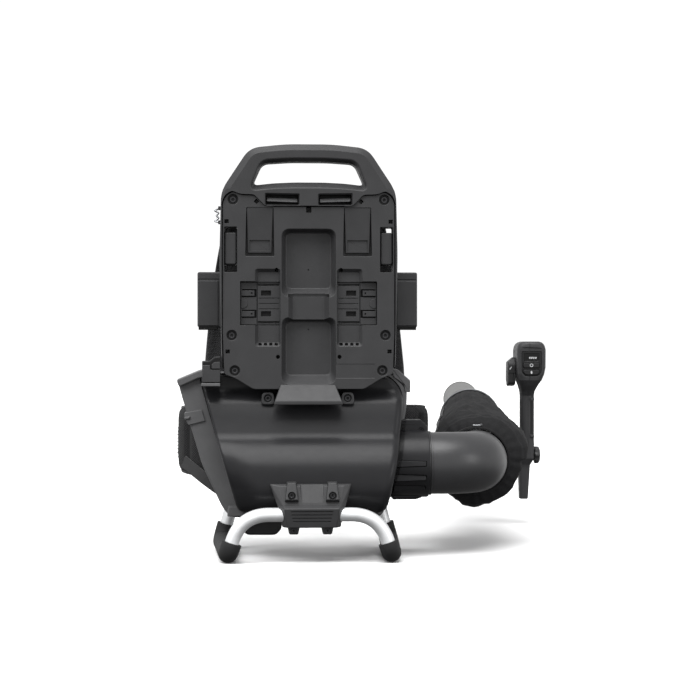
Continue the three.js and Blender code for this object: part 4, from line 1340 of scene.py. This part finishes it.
HANDLE_STATIONS = [
    (44.6, -10.6, 0.4, -6.6, 7.6, 3), (45.6, -12, 1.4, -8, 9, 3.4),
    (97, -13.5, 4.5, -10.5, 12.5, 5),
    (100, -14, 6, -11.8, 13.8, 5), (108, -14, 10.5, -15.5, 17.5, 6), (130, -14, 10.5, -16, 18, 7),
    (137, -10, 10.5, -16, 18, 8), (206, -10, 10.5, -16, 18, 8), (213, -10.6, 11, -20, 18.6, 8),
    (222, -13, 15, -28, 21, 9), (230, -16, 20, -33, 24.5, 9), (240, -18.2, 24, -34, 29, 9),
    (250, -19, 26, -34, 29, 9), (277, -19, 26.4, -34, 29, 10), (283, -18, 25, -34, 26.5, 10),
    (286.5, -16.2, 23, -33.2, 23, 9.5), (288.8, -13.5, 20.5, -31, 19, 8.5),
    (290.2, -9.5, 16.5, -27, 14, 6),
]  # (z, x0, x1, y0, y1, corner radius), from the seam and the stem's centre
HEAD_FRONT = -34
BUTTONS = {
    "power_button": [(-10, 249.4), (15, 249.4), (15, 257.4), (-10, 257.4)],
    "boost_button": [(-6.2, 238.6), (11.8, 238.6), (15, 242), (15, 246.4), (-10, 246.4),
                     (-10, 242)],
}  # (x, z) outlines from the handle's seam


def on_handle(x, y, z):
    return HANDLE + Vector((x, y, z))


def handle_ring(z):
    i = max(k for k in range(len(HANDLE_STATIONS) - 1) if HANDLE_STATIONS[k][0] <= z + 1e-6)
    low, high = HANDLE_STATIONS[i], HANDLE_STATIONS[i + 1]
    t = (z - low[0]) / (high[0] - low[0])
    x0, x1, y0, y1, radius = (low[k] + (high[k] - low[k]) * t for k in range(1, 6))
    return [on_handle(p.x, p.y, z) for p in rectangle(x0, x1, y0, y1, radius * 1.25, 7)]


def shifted(points):
    """An (x, z) outline drawn from the handle's seam."""
    return [Vector((p[0] + HANDLE.x, p[1])) for p in points]


def make_handle():
    tops = sorted({s[0] for s in HANDLE_STATIONS} | {100 + 1.5 * k
                                                     for k in range(125)} | {50 + 8 * k
                                                                             for k in range(6)})
    tops = [z for z in tops if 44.6 <= z <= 290.2]
    body = skin("handle-body", [handle_ring(z) for z in tops])
    front = HANDLE.y + HEAD_FRONT
    window = rounded([(-12.5, 242), (-7, 236.4), (13, 236.4), (18.5, 242), (19.5, 275.5),
                      (-13, 275.5)], 3)
    bezel = rounded([(-15.5, 240.5), (-9, 233.8), (15, 233.8), (21.5, 240.5), (22.8, 281),
                     (-15.5, 282.5)], 4.5)
    body = cut(
        body,
        pocket(shifted(bezel), "Y", front - 1, front + 1.1, shifted(grown(bezel, -1.6)), 0.4, 0.3),
        pocket(shifted(window), "Y", front - 1, front + 4.5, None, 0.9, 0.3),
        slab("seam", rectangle(HANDLE.x - 0.35, HANDLE.x + 0.35, 200, 300, 0), "Y", front - 8,
             front + 2.2, (0, 0), 1),
        slab("seam", rectangle(HANDLE.y - 40, HANDLE.y + 40, 288.6, 300, 0), "X", HANDLE.x - 0.35,
             HANDLE.x + 0.35,
             (0, 0), 1),
        slab("seam", rectangle(HANDLE.x - 0.35, HANDLE.x + 0.35, 130, 212, 0), "Y", HANDLE.y - 20,
             HANDLE.y - 15.3,
             (0, 0), 1),
        block("slot", (HANDLE.x - 6.5, HANDLE.x + 7), (HANDLE.y + 4, HANDLE.y + 40),
              (164, 229), 0.6),
        turned("bore", [(3.6, -40), (3.6, 40)], on_handle(0, 0, PIVOT_Z), (1, 0, 0), 32),
    )
    piece(body, "casing", ["handle_shell_left", "handle_shell_right"], sharp=40, body="handle")
    strip = hull("stem-strip", [on_handle(x, y, z) for x in (4.2, 8.2) for y, z in (
        (-15, 142), (-17.3, 146), (-17.3, 198), (-15, 206))], 0.7)
    piece(strip, "black", body="handle")
    for number, z in enumerate((143, 200), 1):
        plug = hull(f"strip-end-{number}", [on_handle(x, y, z + s) for x in (3.2, 9.2) for y, s in (
            (-15, -3.2), (-15, 3.2), (-18, -2), (-18, 2))], 0.8)
        piece(plug, "casing", body="handle")
    for number, (y, z) in enumerate(((6, 275), (10, 246), (0, 196), (0, 150), (0, 60)), 1):
        x = {275: -18.9, 246: -18.7, 196: -9.9, 150: -9.9, 60: -12.4}[z]
        screw(f"handle-screw-{number}", on_handle(x - 0.5, y, z), (-1, 0, 0), "handle", 2.7, 1.4)


def make_panel():
    front = HANDLE.y + HEAD_FRONT
    plate = slab("panel",
                 shifted(rounded([(-12, 242.2), (-6.8, 237), (12.8, 237), (18, 242.2), (19, 275),
                                  (-12.5, 275)], 2.8)),
                 "Y", front + 1.6, front + 3.6, (0.5, 0.1))
    holes = [hole(shifted(grown(rounded(points, 2.4), 0.6)), "Y", front + 1.6, front + 3.6, 0.2)
             for points in BUTTONS.values()]
    display = pocket(shifted(rounded([(-9, 259.5), (14.5, 259.5), (15, 272), (-9.5, 272)], 2)), "Y",
                     front + 1.6,
                     front + 2.2, None, 0.3, 0.1)
    piece(cut(plate, *holes, display), "gloss", ["control_panel"], body="handle")
    glass = slab("display",
                 shifted(rounded([(-8.6, 260), (14.1, 260), (14.6, 271.6), (-9.1, 271.6)], 1.8)),
                 "Y",
                 front + 1.9, front + 2.6, (0.2, 0.1))
    piece(glass, "dark", body="handle")
    for number in range(4):
        x = -1 + number * 3.1
        bar = slab(f"charge-bar-{number + 1}",
                   shifted(rounded([(x, 263.4), (x + 2.1, 263.4), (x + 2.5, 266.2),
                                    (x + 0.4, 266.2)], 0.3)),
                   "Y", front + 1.75, front + 2.2, (0.05, 0.05), 1)
        piece(bar, "print", body="handle")
    for name, points in BUTTONS.items():
        button = slab(name.replace("_", "-"), shifted(rounded(points, 2.4)), "Y", front - 0.5,
                      front + 3.2,
                      (1.0, 0.1), 4)
        piece(button, "black", [name], body=name)
    ring = turned("power-mark", [(1.7, 0), (2.6, 0), (2.6, 0.25), (1.7, 0.25)],
                  on_handle(2.5, HEAD_FRONT - 0.6, 253.4),
                  (0, 1, 0), 40, close=True)
    piece(ring, "print", body="power_button")
    arrow = slab("boost-mark",
                 shifted([Vector(p)
                          for p in ((1.4, 240.2), (3.6, 240.2), (3.6, 242.2), (4.6, 242.2),
                                                             (2.5, 244.9), (0.4, 242.2),
                                    (1.4, 242.2))]),
                 "Y", front - 0.65, front - 0.3, (0.02, 0.02), 1)
    piece(arrow, "print", body="boost_button")


def make_controls():
    trigger = slab("trigger-body", rounded([
        (HANDLE.y + y, z)
        for y, z in ((10, 214), (14, 224), (22, 224), (30, 206), (29, 178), (23, 168), (19, 170),
                     (19, 200))
    ], 5), "X", HANDLE.x - 5.7, HANDLE.x + 6.2, (1.4, 1.4), 4)
    piece(trigger, "black", ["trigger"], body="trigger")
    profile = rounded([(HANDLE.y + y, z) for y, z in (
        (-14, 224), (10, 220), (15, 232), (13, 258), (5, 266), (-7, 265), (-14, 254))], 4)
    lever = slab("lever", profile, "X", HANDLE.x - 31, HANDLE.x - 19.6, (2.2, 0.6), 4)
    wedge = hull("wedge", [(HANDLE.x - a, HANDLE.y + y, z) for y in (-30, 30)
                           for a, z in ((32, 257), (32, 270), (18, 270))], 0.1)
    groove = slab("groove", rectangle(HANDLE.x - 33, HANDLE.x - 21.5, 240.2, 241.4, 0), "Y",
                  HANDLE.y - 16, HANDLE.y - 12.4,
                  (0, 0), 1)
    notch = slab("notch", rectangle(HANDLE.x - 23, HANDLE.x - 22.2, 219, 241, 0), "Y",
                 HANDLE.y - 16, HANDLE.y - 13,
                 (0, 0), 1)
    cutters = [wedge, groove, notch]
    cutters += [slab("grip", rectangle(HANDLE.y - 9 + 4 * k, HANDLE.y - 7.6 + 4 * k, 226, 250,
                                       0.3), "X",
                     HANDLE.x - 32, HANDLE.x - 30.2, (0, 0), 1) for k in range(5)]
    piece(cut(lever, *cutters), "black", ["cruise_lever"], body="lever")
    tick = slab("lever-mark", [Vector((HANDLE.x + x, z)) for x, z in (
        (-29.2, 247.4), (-28.2, 246.6), (-25.2, 250), (-25.6, 251), (-28.0, 248.6))], "Y",
                HANDLE.y - 14.15,
        HANDLE.y - 13.8, (0.02, 0.02), 1)
    piece(tick, "print", body="lever")


def make_knob():
    """A lobed clamp knob on its bolt."""
    sides = 96
    rings = []
    for along, radius, lobe in ((11, 9.5, 0), (11.3, 11.5, 0.5), (12.6, 12.6, 0.8),
                                (16.6, 12.6, 0.8), (19.2, 11.2, 0.6),
                                (20, 9.2, 0.3), (20, 5.5, 0), (19.2, 4.8, 0)):
        ring = []
        for i in range(sides):
            a = 2 * math.pi * i / sides
            r = radius + lobe * math.cos(8 * a)
            ring.append(on_handle(along, r * math.cos(a), PIVOT_Z + r * math.sin(a)))
        rings.append(ring)
    piece(skin("clamp-knob", rings), "casing", ["clamp_knob"], body="knob")
    bolt = turned("clamp-bolt", [(0.01, -27), (2.6, -27), (3, -26.4), (3, 11.5), (0.01, 11.5)],
                  on_handle(0, 0, PIVOT_Z),
                  (1, 0, 0), 32)
    piece(bolt, "steel", body="knob")
    insert = turned("knob-insert", [(0.01, 19.6), (4.4, 19.6), (4.4, 18.8), (0.01, 18.8)],
                    on_handle(0, 0, PIVOT_Z),
                    (1, 0, 0), 32)
    piece(insert, "screw", body="knob")


def make_handle_clamp():
    """The band round the tube and its arm to the pivot."""
    along = (HANDLE.y - TUBE_START.y) / TUBE_AXIS.y
    ring = turned("handle-clamp",
                  [(39.9, -12), (42.4, -12), (43.1, -11.3), (43.1, 11.3), (42.4, 12), (39.9, 12)],
                  on_tube(along), TUBE_AXIS, 96, close=True)
    arm_outline = rounded([(276, 131), (298, 112), (328, 98), (342.2, 100), (342.2, 128),
                           (328, 131), (309, 158),
                           (296, 170)], 4)
    arm = slab("arm", arm_outline, "Y", HANDLE.y - 11, HANDLE.y + 11, (2, 2), 4)
    bore = turned("bore", [(39.7, -40), (39.7, 40)], on_tube(along), TUBE_AXIS, 96)
    bolt_hole = turned("bolt-hole", [(3.6, -60), (3.6, 60)], on_handle(0, 0, PIVOT_Z),
                       (1, 0, 0), 32)
    webs = [pocket(rounded([(300, 118), (326, 104), (334, 106), (334, 122), (324, 125),
                            (306, 140)], 3), "Y",
                   HANDLE.y + sign * 11, HANDLE.y + sign * 6.5, None, 0.6, 1) for sign in (-1, 1)]
    body = cut(join(ring, cut(arm, bore)), bolt_hole, *webs)
    piece(body, "black", ["handle_clamp"], body="tube")


make_handle()
make_panel()
make_controls()
make_knob()
make_handle_clamp()


# ---------------------------------------------------------------- harness panel

def panel_slice(name, z0, z1, near, far):
    """The part of the sloping panel between two heights, from `near` to `far` behind its face."""
    heights = [z0, *([PANEL_KNEE[1]] if z0 < PANEL_KNEE[1] < z1 else []), z1]
    section = [Vector((panel_y(z, near), z)) for z in heights]
    section += [Vector((panel_y(z, far), z)) for z in reversed(heights)]
    return slab(name, section, "X", -112, 112, (0, 0), 1)


def make_panel_frame():
    half = [(56, 96), (72, 73), (106, 73), (108, 92), (85, 106), (84, 300), (74, 440), (62, 475)]
    outline = rounded(mirrored(half), 6)
    web = common(slab("harness-frame", outline, "Y", 40, 120, (0, 0), 1),
                 panel_slice("web", 72, 475, 3.4, 7))
    rim = cut(slab("rim", outline, "Y", 40, 120, (0, 0), 1),
              slab("inside", grown(outline, -4), "Y", 39, 121, (0, 0), 1))
    ribs = [rectangle(-60, 60, z - 1.5, z + 1.5, 0.2) for z in (128, 186, 292, 350, 408)]
    ribs += [rectangle(x - 1.5, x + 1.5, 100, 440, 0.2) for x in (-52, -18, 18, 52)]
    ribs += [rectangle(-36, 36, 441, 469, 8)]
    lattice = [slab("rib", rib, "Y", 40, 120, (0, 0), 1) for rib in ribs]
    raised = common(join(rim, *lattice), panel_slice("raised", 72.6, 474.5, 0.4, 6.6))
    slots = [hole(rectangle(-30, 30, 448, 462, 5), "Y", 40, 70, 0.5)]
    for sign in (-1, 1):
        slots.append(hole(rectangle(sign * 60, sign * 78, 198, 202, 1.5), "Y", 95, 125, 0.3))
        slots.append(hole(rectangle(sign * 86, sign * 102, 79, 84, 1.5), "Y", 95, 125, 0.3))
        slots += [hole(circle(sign * 35, z, 6), "Y", 50, 120, 0.3) for z in (157, 321, 379)]
    piece(cut(join(web, raised), *slots), "black", ["harness_frame"], sharp=30)
    for sign in (-1, 1):
        for number, z in enumerate((320, 366), 1):
            screw(f"panel-screw-{'left' if sign < 0 else 'right'}-{number}",
                  Vector((sign * 35, panel_y(z, 3.2), z + 8)), (0, -1, 0), "backpack", 3.6, 1.6)


make_panel_frame()


# ---------------------------------------------------------------- padded harness pieces

class Pad:
    """A sewn pad over a curved base: u runs along it, v across and w out of it, in millimetres.

    `place(u, v, w)` gives a drawing point, `width(u)` the half width, `channel(u, v)` the distance
    to the nearest sewn channel. The pad is `thick` each way from its middle.
    """

    EDGE = 2.6

    def __init__(self, name, place, start, end, width, thick, corner=14):
        self.name, self.place, self.start, self.end = name, place, start, end
        self.width, self.thick, self.corner = width, thick, corner
        self.grid = [(u, v) for u in self.stations(3) for v in self.spread(u, 3)]
        self.tree = KDTree(len(self.grid))
        for i, (u, v) in enumerate(self.grid):
            self.tree.insert(place(u, v, 0), i)
        self.tree.balance()

    def stations(self, step):
        count = max(2, round((self.end - self.start) / step))
        return [self.start + (self.end - self.start) * k / count for k in range(count + 1)]

    def half(self, u):
        """Half width at u, drawn in at the rounded corners."""
        inside = min(max(min(u - self.start, self.end - u), 0), self.corner)
        drawn = self.corner - math.sqrt(self.corner ** 2 - (self.corner - inside) ** 2)
        return self.width(u) - drawn

    def spread(self, u, step):
        half = self.half(u)
        count = max(4, round(2 * half / step))
        return [-half + 2 * half * k / count for k in range(count + 1)]

    def seam(self, u, v):
        return max(0.0, min(self.half(u) - abs(v), u - self.start, self.end - u))

    def rise(self, u, v, thick):
        near = 1 - min(self.seam(u, v) / 15, 1)
        return self.EDGE + (thick - self.EDGE) * math.sqrt(1 - near * near)

    def body(self, thick):
        rings = []
        for u in self.stations(4):
            row = [(v, self.rise(u, v, thick))
                   for v in [self.half(u) * s / 16 for s in range(-16, 17)]]
            ring = [self.place(u, v, w) for v, w in row] + [self.place(u, v, -w)
                                                            for v, w in reversed(row)]
            rings.append(ring)
        return skin(self.name, rings)

    def locate(self, point):
        """The (u, v, w) of a drawing point."""
        base, index, _ = self.tree.find(point)
        u, v = self.grid[index]
        normal = (self.place(u, v, 1) - base).normalized()
        return u, v, (point - base).dot(normal)

    def outline(self, step=4):
        us = self.stations(step)
        side = [(u, self.half(u)) for u in us]
        ends = [v for v in self.spread(self.end, step)][1:-1]
        starts = [v for v in self.spread(self.start, step)][1:-1]
        return (side + [(self.end, v) for v in reversed(ends)] + [(u, -v)
                                                                  for u, v in reversed(side)]
                + [(self.start, v) for v in starts])


def drawing(point):
    """The drawing point of a frame position."""
    return (point - ORIGIN) / MM


PAD_VOXEL = 4.8 * MM


def puffed(pad, channel, reach, backed=False):
    """The pad's mesh, quilted along its channels and blown up by cloth simulation."""
    obj = pad.body(pad.thick * 0.86)
    remesh = obj.modifiers.new("remesh", "REMESH")
    remesh.mode = "VOXEL"
    remesh.voxel_size = PAD_VOXEL
    settle(obj)
    held = []
    for vertex in obj.data.vertices:
        u, v, w = pad.locate(drawing(vertex.co))
        sunk = math.exp(-(channel(u, v) / 5.5) ** 2) * min(pad.seam(u, v) / 10, 1)
        if not backed or w > 0:
            vertex.co = at(*pad.place(u, v, w * (1 - 0.62 * sunk)))
        if pad.seam(u, v) < 4 or sunk > 0.55 or (backed and w < 1):
            held.append(vertex.index)
    start = [vertex.co.copy() for vertex in obj.data.vertices]
    obj.vertex_groups.new(name="sewn").add(held, 1.0, "REPLACE")
    cloth = obj.modifiers.new("cloth", "CLOTH")
    cloth.settings.vertex_group_mass = "sewn"
    cloth.settings.use_pressure = True
    cloth.settings.uniform_pressure_force = 4
    cloth.settings.effector_weights.gravity = 0
    for frame_number in range(1, 21):
        bpy.context.scene.frame_set(frame_number)
    settle(obj)
    bpy.context.scene.frame_set(1)
    for vertex, before in zip(obj.data.vertices, start):
        move = vertex.co - before
        if move.length > reach * MM:
            vertex.co = before + move.normalized() * reach * MM
    obj.vertex_groups.clear()
    obj.modifiers.new("smooth", "SUBSURF").levels = 1
    settle(obj)
    return obj


def bead(name, pad, points, w, size, closed=True):
    """A tape or cord over the pad through (u, v) points, `size` = (across, out)."""
    path = [pad.place(u, v, w) for u, v in points]
    count = len(path)
    section = rectangle(-size[0] / 2, size[0] / 2, -size[1] / 2, size[1] / 2, min(size) * 0.45, 2)
    rings = []
    for i, point in enumerate(path):
        ahead = path[(i + 1) % count if closed else min(i + 1, count - 1)]
        behind = path[i - 1 if closed else max(i - 1, 0)]
        tangent = (ahead - behind).normalized()
        normal = (pad.place(*points[i], w + 1) - point).normalized()
        side = tangent.cross(normal).normalized()
        rings.append([point + side * p.x + normal * p.y for p in section])
    return skin(name, rings, closed=closed)


STITCH_PITCH = 3.4


def stitched(name, pad, lines, height):
    """Rows of thread on the pad; `height(u, v)` is how far out the cloth lies."""
    threads = []
    for line in lines:
        travelled = 0.0
        for (u0, v0), (u1, v1) in zip(line, line[1:]):
            length = math.hypot(u1 - u0, v1 - v0)
            while travelled + 2.1 < length:
                marks = []
                for along in (travelled, travelled + 1.0, travelled + 2.1):
                    t = along / length
                    u, v = u0 + (u1 - u0) * t, v0 + (v1 - v0) * t
                    marks.append(pad.place(u, v, height(u, v)))
                threads.append(pipe("thread", marks, 0.42, 5))
                travelled += STITCH_PITCH
            travelled = max(travelled - length, 0)
    return merge(name, threads)


def make_pad(pad, node, channel, backed=False, reach=6):
    body = puffed(pad, channel, reach, backed)
    piece(body, "mesh", [node], sharp=80)
    tape = bead(f"{pad.name}-binding", pad, pad.outline(), 0, (3.4, 7.0))
    piece(tape, "webbing", sharp=60)


def panel_pad(name, node, z0, z1, width, thick, channel):
    base = 7.4 + thick

    def place(u, v, w):
        return Vector((v, panel_y(u, base) + w, u))

    make_pad(Pad(name, place, z0, z1, width, thick), node, channel, backed=True, reach=5)


def between(value, stops):
    """A smooth value through (position, value) stops."""
    for (a, low), (b, high) in zip(stops, stops[1:]):
        if value <= b:
            t = max(value - a, 0) / (b - a)
            return low + (high - low) * t
    return stops[-1][1]


panel_pad("back-pad", "back_pad", 209, 439,
          lambda u: between(u, [(208, 73), (300, 75), (440, 60)]), 9,
          lambda u,
          v: min(abs(v), *(math.hypot(max(8 - abs(v), 0), abs(u + abs(v) * 0.22 - s))
                           for s in (268, 326, 384))))
panel_pad("lumbar-pad", "lumbar_pad", 113, 197, lambda u: between(u, [(96, 69), (198, 71)]), 8,
          lambda u, v: min(abs(abs(v) - 24), abs(v) if abs(v) < 24 else 99))


def strap_place(sign):
    start, end = math.radians(STRAP_START), math.radians(STRAP_END)

    def place(u, v, w):
        t = u / STRAP_LENGTH
        angle = start + (end - start) * t
        x = sign * (50 + 60 * math.sin(min(max(t, 0), 1) * math.pi / 2)) + v
        return Vector((x, STRAP_Y + (STRAP_RY + w) * math.cos(angle),
                       STRAP_Z + (STRAP_RZ + w) * math.sin(angle)))

    return place


def ladder_lock(name, centre, along, across, out, width):
    """A strap adjuster: two bars in a frame, seen from outside."""
    def corner(a, b, c):
        return centre + along * a + across * b + out * c

    rails = [hull("rail", [corner(a, side * b, c) for a in (-11, 11)
                           for b in (width / 2 + 0.6, width / 2 + 3.4)
                           for c in (-1.4, 2.2)], 0.7) for side in (-1, 1)]
    bars = [hull("bar", [corner(a + s, b, c) for s in (-size, size)
                         for b in (-width / 2 - 1.4, width / 2 + 1.4)
                         for c in (-0.8, top)], 0.6)
            for a, size, top in ((-9, 1.8, 1.8), (0, 1.6, 2.6), (9, 2.2, 3.0))]
    lock = join(rails[0], rails[1], *bars)
    lock.name = name
    piece(lock, "black")


def frame_of(pad, u, v, w):
    """The point at (u, v, w) with the pad's directions along, across and out."""
    point = pad.place(u, v, w)
    along = (pad.place(u + 1, v, w) - pad.place(u - 1, v, w)).normalized()
    out = (pad.place(u, v, w + 1) - point).normalized()
    return point, along, along.cross(out), out


STRAP_LENGTH = 350


def make_shoulder_strap(side, sign):
    pad = Pad(f"shoulder-strap-{side}", strap_place(sign), 3, STRAP_LENGTH - 3,
              lambda u: between(u, [(0, 29), (120, 29.5), (300, 28.5), (350, 26)]), 8, 12)

    def channel(u, v):
        return min(abs(abs(v) - 17) if 30 < u < 320 else 99,
                   *(abs(u - s) for s in (30, 88, 146, 204, 262, 320)))

    make_pad(pad, f"shoulder_strap_{side}", channel)
    run = [(u, 0) for u in range(150, 337, 4)]
    tape = bead(f"strap-tape-{side}", pad, run, 9.6, (24, 1.6), closed=False)
    piece(tape, "webbing", sharp=50)
    sewn = stitched(f"strap-thread-{side}", pad,
                    [[(u, v) for u in range(152, 335, 6)] for v in (-10, 10)],
                    lambda u, v: 10.5)
    piece(sewn, "thread")
    point, along, across, out = frame_of(pad, 322, 0, 10.8)
    ladder_lock(f"strap-lock-{side}", point, along, across, out, 24)
    point, along, across, out = frame_of(pad, 190, 0, 11.5)
    ring = [point + along * a + across * b for a, b in (
        (-6, -12), (6, -12), (11, 0), (6, 12), (-6, 12))]
    loop = eased([*ring, ring[0]], [4], 1.2)
    piece(pipe(f"strap-ring-{side}", loop, 1.5, 12, end_round=1.0), "steel")


both_sides(make_shoulder_strap)


def make_strap_webbing(side, sign):
    """The webbing from the panel's edge up to the strap's lower end."""
    foot, tip = Vector((sign * 81, 117.5, 208)), Vector((sign * 103, 139, 209))
    path = eased([foot, foot + (tip - foot) * 0.35 + Vector((0, 0, -1.2)), tip], [6], 1.2)
    piece(band(f"strap-webbing-{side}", path, lambda i: Vector((0, 0.1, 1)), 20, 2.1, 0.8),
          "webbing",
          [f"strap_webbing_{side}"], sharp=50)


both_sides(make_strap_webbing)


BELT = {"left": ((242, 164), (163, 106)), "right": ((-62, 16), (17, 74))}
BELT_MIDDLE = (BELT_Z0 + BELT_Z1) / 2


def belt_place(start, length, turn, out=0, up=0):
    """Points round the hip belt's ellipse; `turn` degrees pass over `length` millimetres."""
    def place(u, v, w):
        angle = math.radians(start + turn * u / length)
        reach = w + out
        return Vector((
            (BELT_RX + reach) * math.cos(angle), BELT_Y + (BELT_RY + reach) * math.sin(angle),
            BELT_MIDDLE + v + up))

    return place


def make_belt(side, sign):
    (start, end), (web_start, web_end) = BELT[side]
    length = 176
    pad = Pad(f"hip-pad-{side}", belt_place(start, length, end - start, 6, 8), 2, length - 1,
              lambda u: between(u, [(0, 49), (90, 47), (140, 44), (176, 30)]), 8.6, 16)

    def channel(u, v):
        return min(math.hypot(abs(u - s), max(abs(v) - 30, 0)) for s in (40, 88))

    make_pad(pad, f"hip_pad_{side}", channel)
    tape = bead(f"hip-tape-{side}", pad, [(u, -6) for u in range(153, 174, 4)], 8.4, (36, 1.6),
                closed=False)
    piece(tape, "webbing", sharp=50)
    sewn = stitched(f"hip-thread-{side}", pad,
                    [[(u, v) for u in (153, 159)]
                     for v in (-21, 9)] + [[(154, v) for v in range(-21, 10, 5)]],
                    lambda u, v: 9.9)
    piece(sewn, "thread")
    point, along, across, out = frame_of(pad, 170, -6, 7.6)
    ladder_lock(f"hip-lock-{side}", point, along, across, out, 37)
    anchor, _, _, out = frame_of(pad, 96, -30, 9.5)
    foot = Vector((sign * 94, 113, 82))
    route = eased([foot, Vector((sign * 118, 122, 88)), (foot + anchor) / 2 + out * 9,
                   anchor - out * 0.5], [10, 14], 3)
    stay = band(f"hip-stay-{side}", route, lambda i: Vector((0, 0.25, 1)), 17, 2.0, 0.7)
    piece(stay, "webbing", sharp=50)
    place = belt_place(web_start, 1, web_end - web_start)
    steps = 44
    path = [place(k / steps, 142 - BELT_MIDDLE, 1.2 * math.sin(k / steps * math.pi))
            for k in range(steps + 1)]
    piece(band(f"belt-webbing-{side}", path, lambda i: Vector((0, 0, 1)), 37, 2.3, 0.8), "webbing",
          [f"belt_webbing_{side}"], sharp=50)


both_sides(make_belt)


def make_buckle():
    """The side-release buckle at the belt's front."""
    y = BELT_Y + BELT_RY
    socket = slab("buckle-socket",
                  rounded([(-44, 122), (-38, 118), (-8, 118), (-0.2, 124), (-0.2, 160), (-8, 166),
                                            (-38, 166), (-44, 162)], 3), "Y", y - 7, y + 7,
                  (2.6, 2.6), 4)
    mouth = slab("mouth", rectangle(-14, 2, 128, 156, 2), "Y", y - 3.4, y + 3.4, (0.4, 0.4), 1)
    windows = [hole(rounded([(-26, z0), (-10, z0), (-8, z1), (-24, z1)], 2), "Y", y - 8, y + 8, 0.6)
               for z0, z1 in ((119, 124), (160, 165))]
    slot = hole(rectangle(-40.5, -36, 124, 160, 1.2), "Y", y - 8, y + 8, 0.5)
    dish = [pocket(rectangle(-32, -14, 131, 153, 5), "Y", y + side * 7, y + side * 6.2,
                   None, 0.5, 0.6)
            for side in (-1, 1)]
    piece(cut(socket, mouth, *windows, slot, *dish), "black", ["buckle_socket"])
    plug = slab("buckle-plug",
                rounded([(0.6, 124), (8, 119), (38, 118), (44, 122), (44, 162), (38, 166), (8, 165),
                                        (0.6, 160)], 3), "Y", y - 6.4, y + 6.4, (2.4, 2.4), 4)
    prongs = [slab("prong", rounded([(-13, z + 1), (-13, z + 4), (6, z + 6), (6, z - 1)], 0.8), "Y",
                   y - 2.9, y + 2.9,
                   (0.6, 0.6), 2) for z in (129, 139.5, 150)]
    slot = hole(rectangle(35, 40, 124, 160, 1.2), "Y", y - 8, y + 8, 0.5)
    ribs = [pocket(rectangle(12 + 4 * k, 13.6 + 4 * k, 128, 156, 0.6), "Y", y + 6.4, y + 5.4,
                   None, 0.3, 0.1)
            for k in range(5)]
    piece(cut(join(plug, *prongs), slot, *ribs), "black", ["buckle_plug"])


make_buckle()


# ---------------------------------------------------------------- floor and light

def lamp(name, place, target, size, power):
    """A soft box at `place` that faces `target`."""
    light = bpy.data.lights.new(name, "AREA")
    light.shape = "RECTANGLE"
    light.size, light.size_y = size
    light.energy = power
    holder = bpy.data.objects.new(name, light)
    bpy.context.scene.collection.objects.link(holder)
    holder.location = place
    holder.rotation_euler = (Vector(target) - Vector(place)).to_track_quat("-Z", "Y").to_euler()


def sky(name, toward, strength, angle):
    """A very wide, soft light from a direction."""
    light = bpy.data.lights.new(name, "SUN")
    light.energy = strength
    light.angle = math.radians(angle)
    holder = bpy.data.objects.new(name, light)
    bpy.context.scene.collection.objects.link(holder)
    holder.rotation_euler = Vector(toward).to_track_quat("Z", "Y").to_euler()


def make_floor():
    """A wide pale floor that takes shadows and throws no light back up."""
    mesh = bmesh.new()
    bmesh.ops.create_circle(mesh, cap_ends=True, segments=96, radius=14)
    floor = to_object("floor", mesh)
    paint = Shader("floor", 0.7)
    paint.colours(paint.noise(3, 2), (0.965, 0.965, 0.965), (0.975, 0.975, 0.975))
    floor.data.materials.append(paint.material)
    floor.visible_diffuse = False
    floor.visible_glossy = False


def make_world():
    """Soft surroundings: white at eye level, dimmer overhead and dark underneath."""
    world = bpy.data.worlds.new("studio")
    world.use_nodes = True
    tree = world.node_tree
    background = tree.nodes["Background"]
    background.inputs["Strength"].default_value = 1.06
    place = tree.nodes.new("ShaderNodeTexCoord")
    split = tree.nodes.new("ShaderNodeSeparateXYZ")
    tree.links.new(place.outputs["Generated"], split.inputs[0])
    level = tree.nodes.new("ShaderNodeMapRange")
    level.inputs["From Min"].default_value = -0.4
    level.inputs["From Max"].default_value = 0.4
    tree.links.new(split.outputs["Z"], level.inputs["Value"])
    ramp = tree.nodes.new("ShaderNodeValToRGB")
    ramp.color_ramp.elements[0].color = (0.16, 0.16, 0.16, 1)
    ramp.color_ramp.elements[1].color = (0.62, 0.62, 0.62, 1)
    for position in (0.43, 0.76):
        ramp.color_ramp.elements.new(position).color = (1, 1, 1, 1)
    tree.links.new(level.outputs["Result"], ramp.inputs["Fac"])
    tree.links.new(ramp.outputs["Color"], background.inputs["Color"])
    bpy.context.scene.world = world


def make_studio():
    make_floor()
    make_world()
    sky("overhead", (-0.14, -0.42, 1.0), 4.1, 50)
    lamp("key", (-1.5, -1.5, 1.5), (0, 0, 0.2), (0.8, 0.8), 16)
    lamp("fill", (1.9, -2.0, 0.8), (0, 0, 0.25), (0.6, 1.2), 11)
    bpy.context.scene.view_settings.view_transform = "Standard"


make_studio()

for name, node in frame["nodes"].items():
    if node.get("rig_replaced") or node.hide_render:
        continue
    slot = next(s["material_slot"] for s in frame["record"]["subparts"] if s["node"] == name)
    node.data.materials.clear()
    node.data.materials.append(MATERIALS[slot])
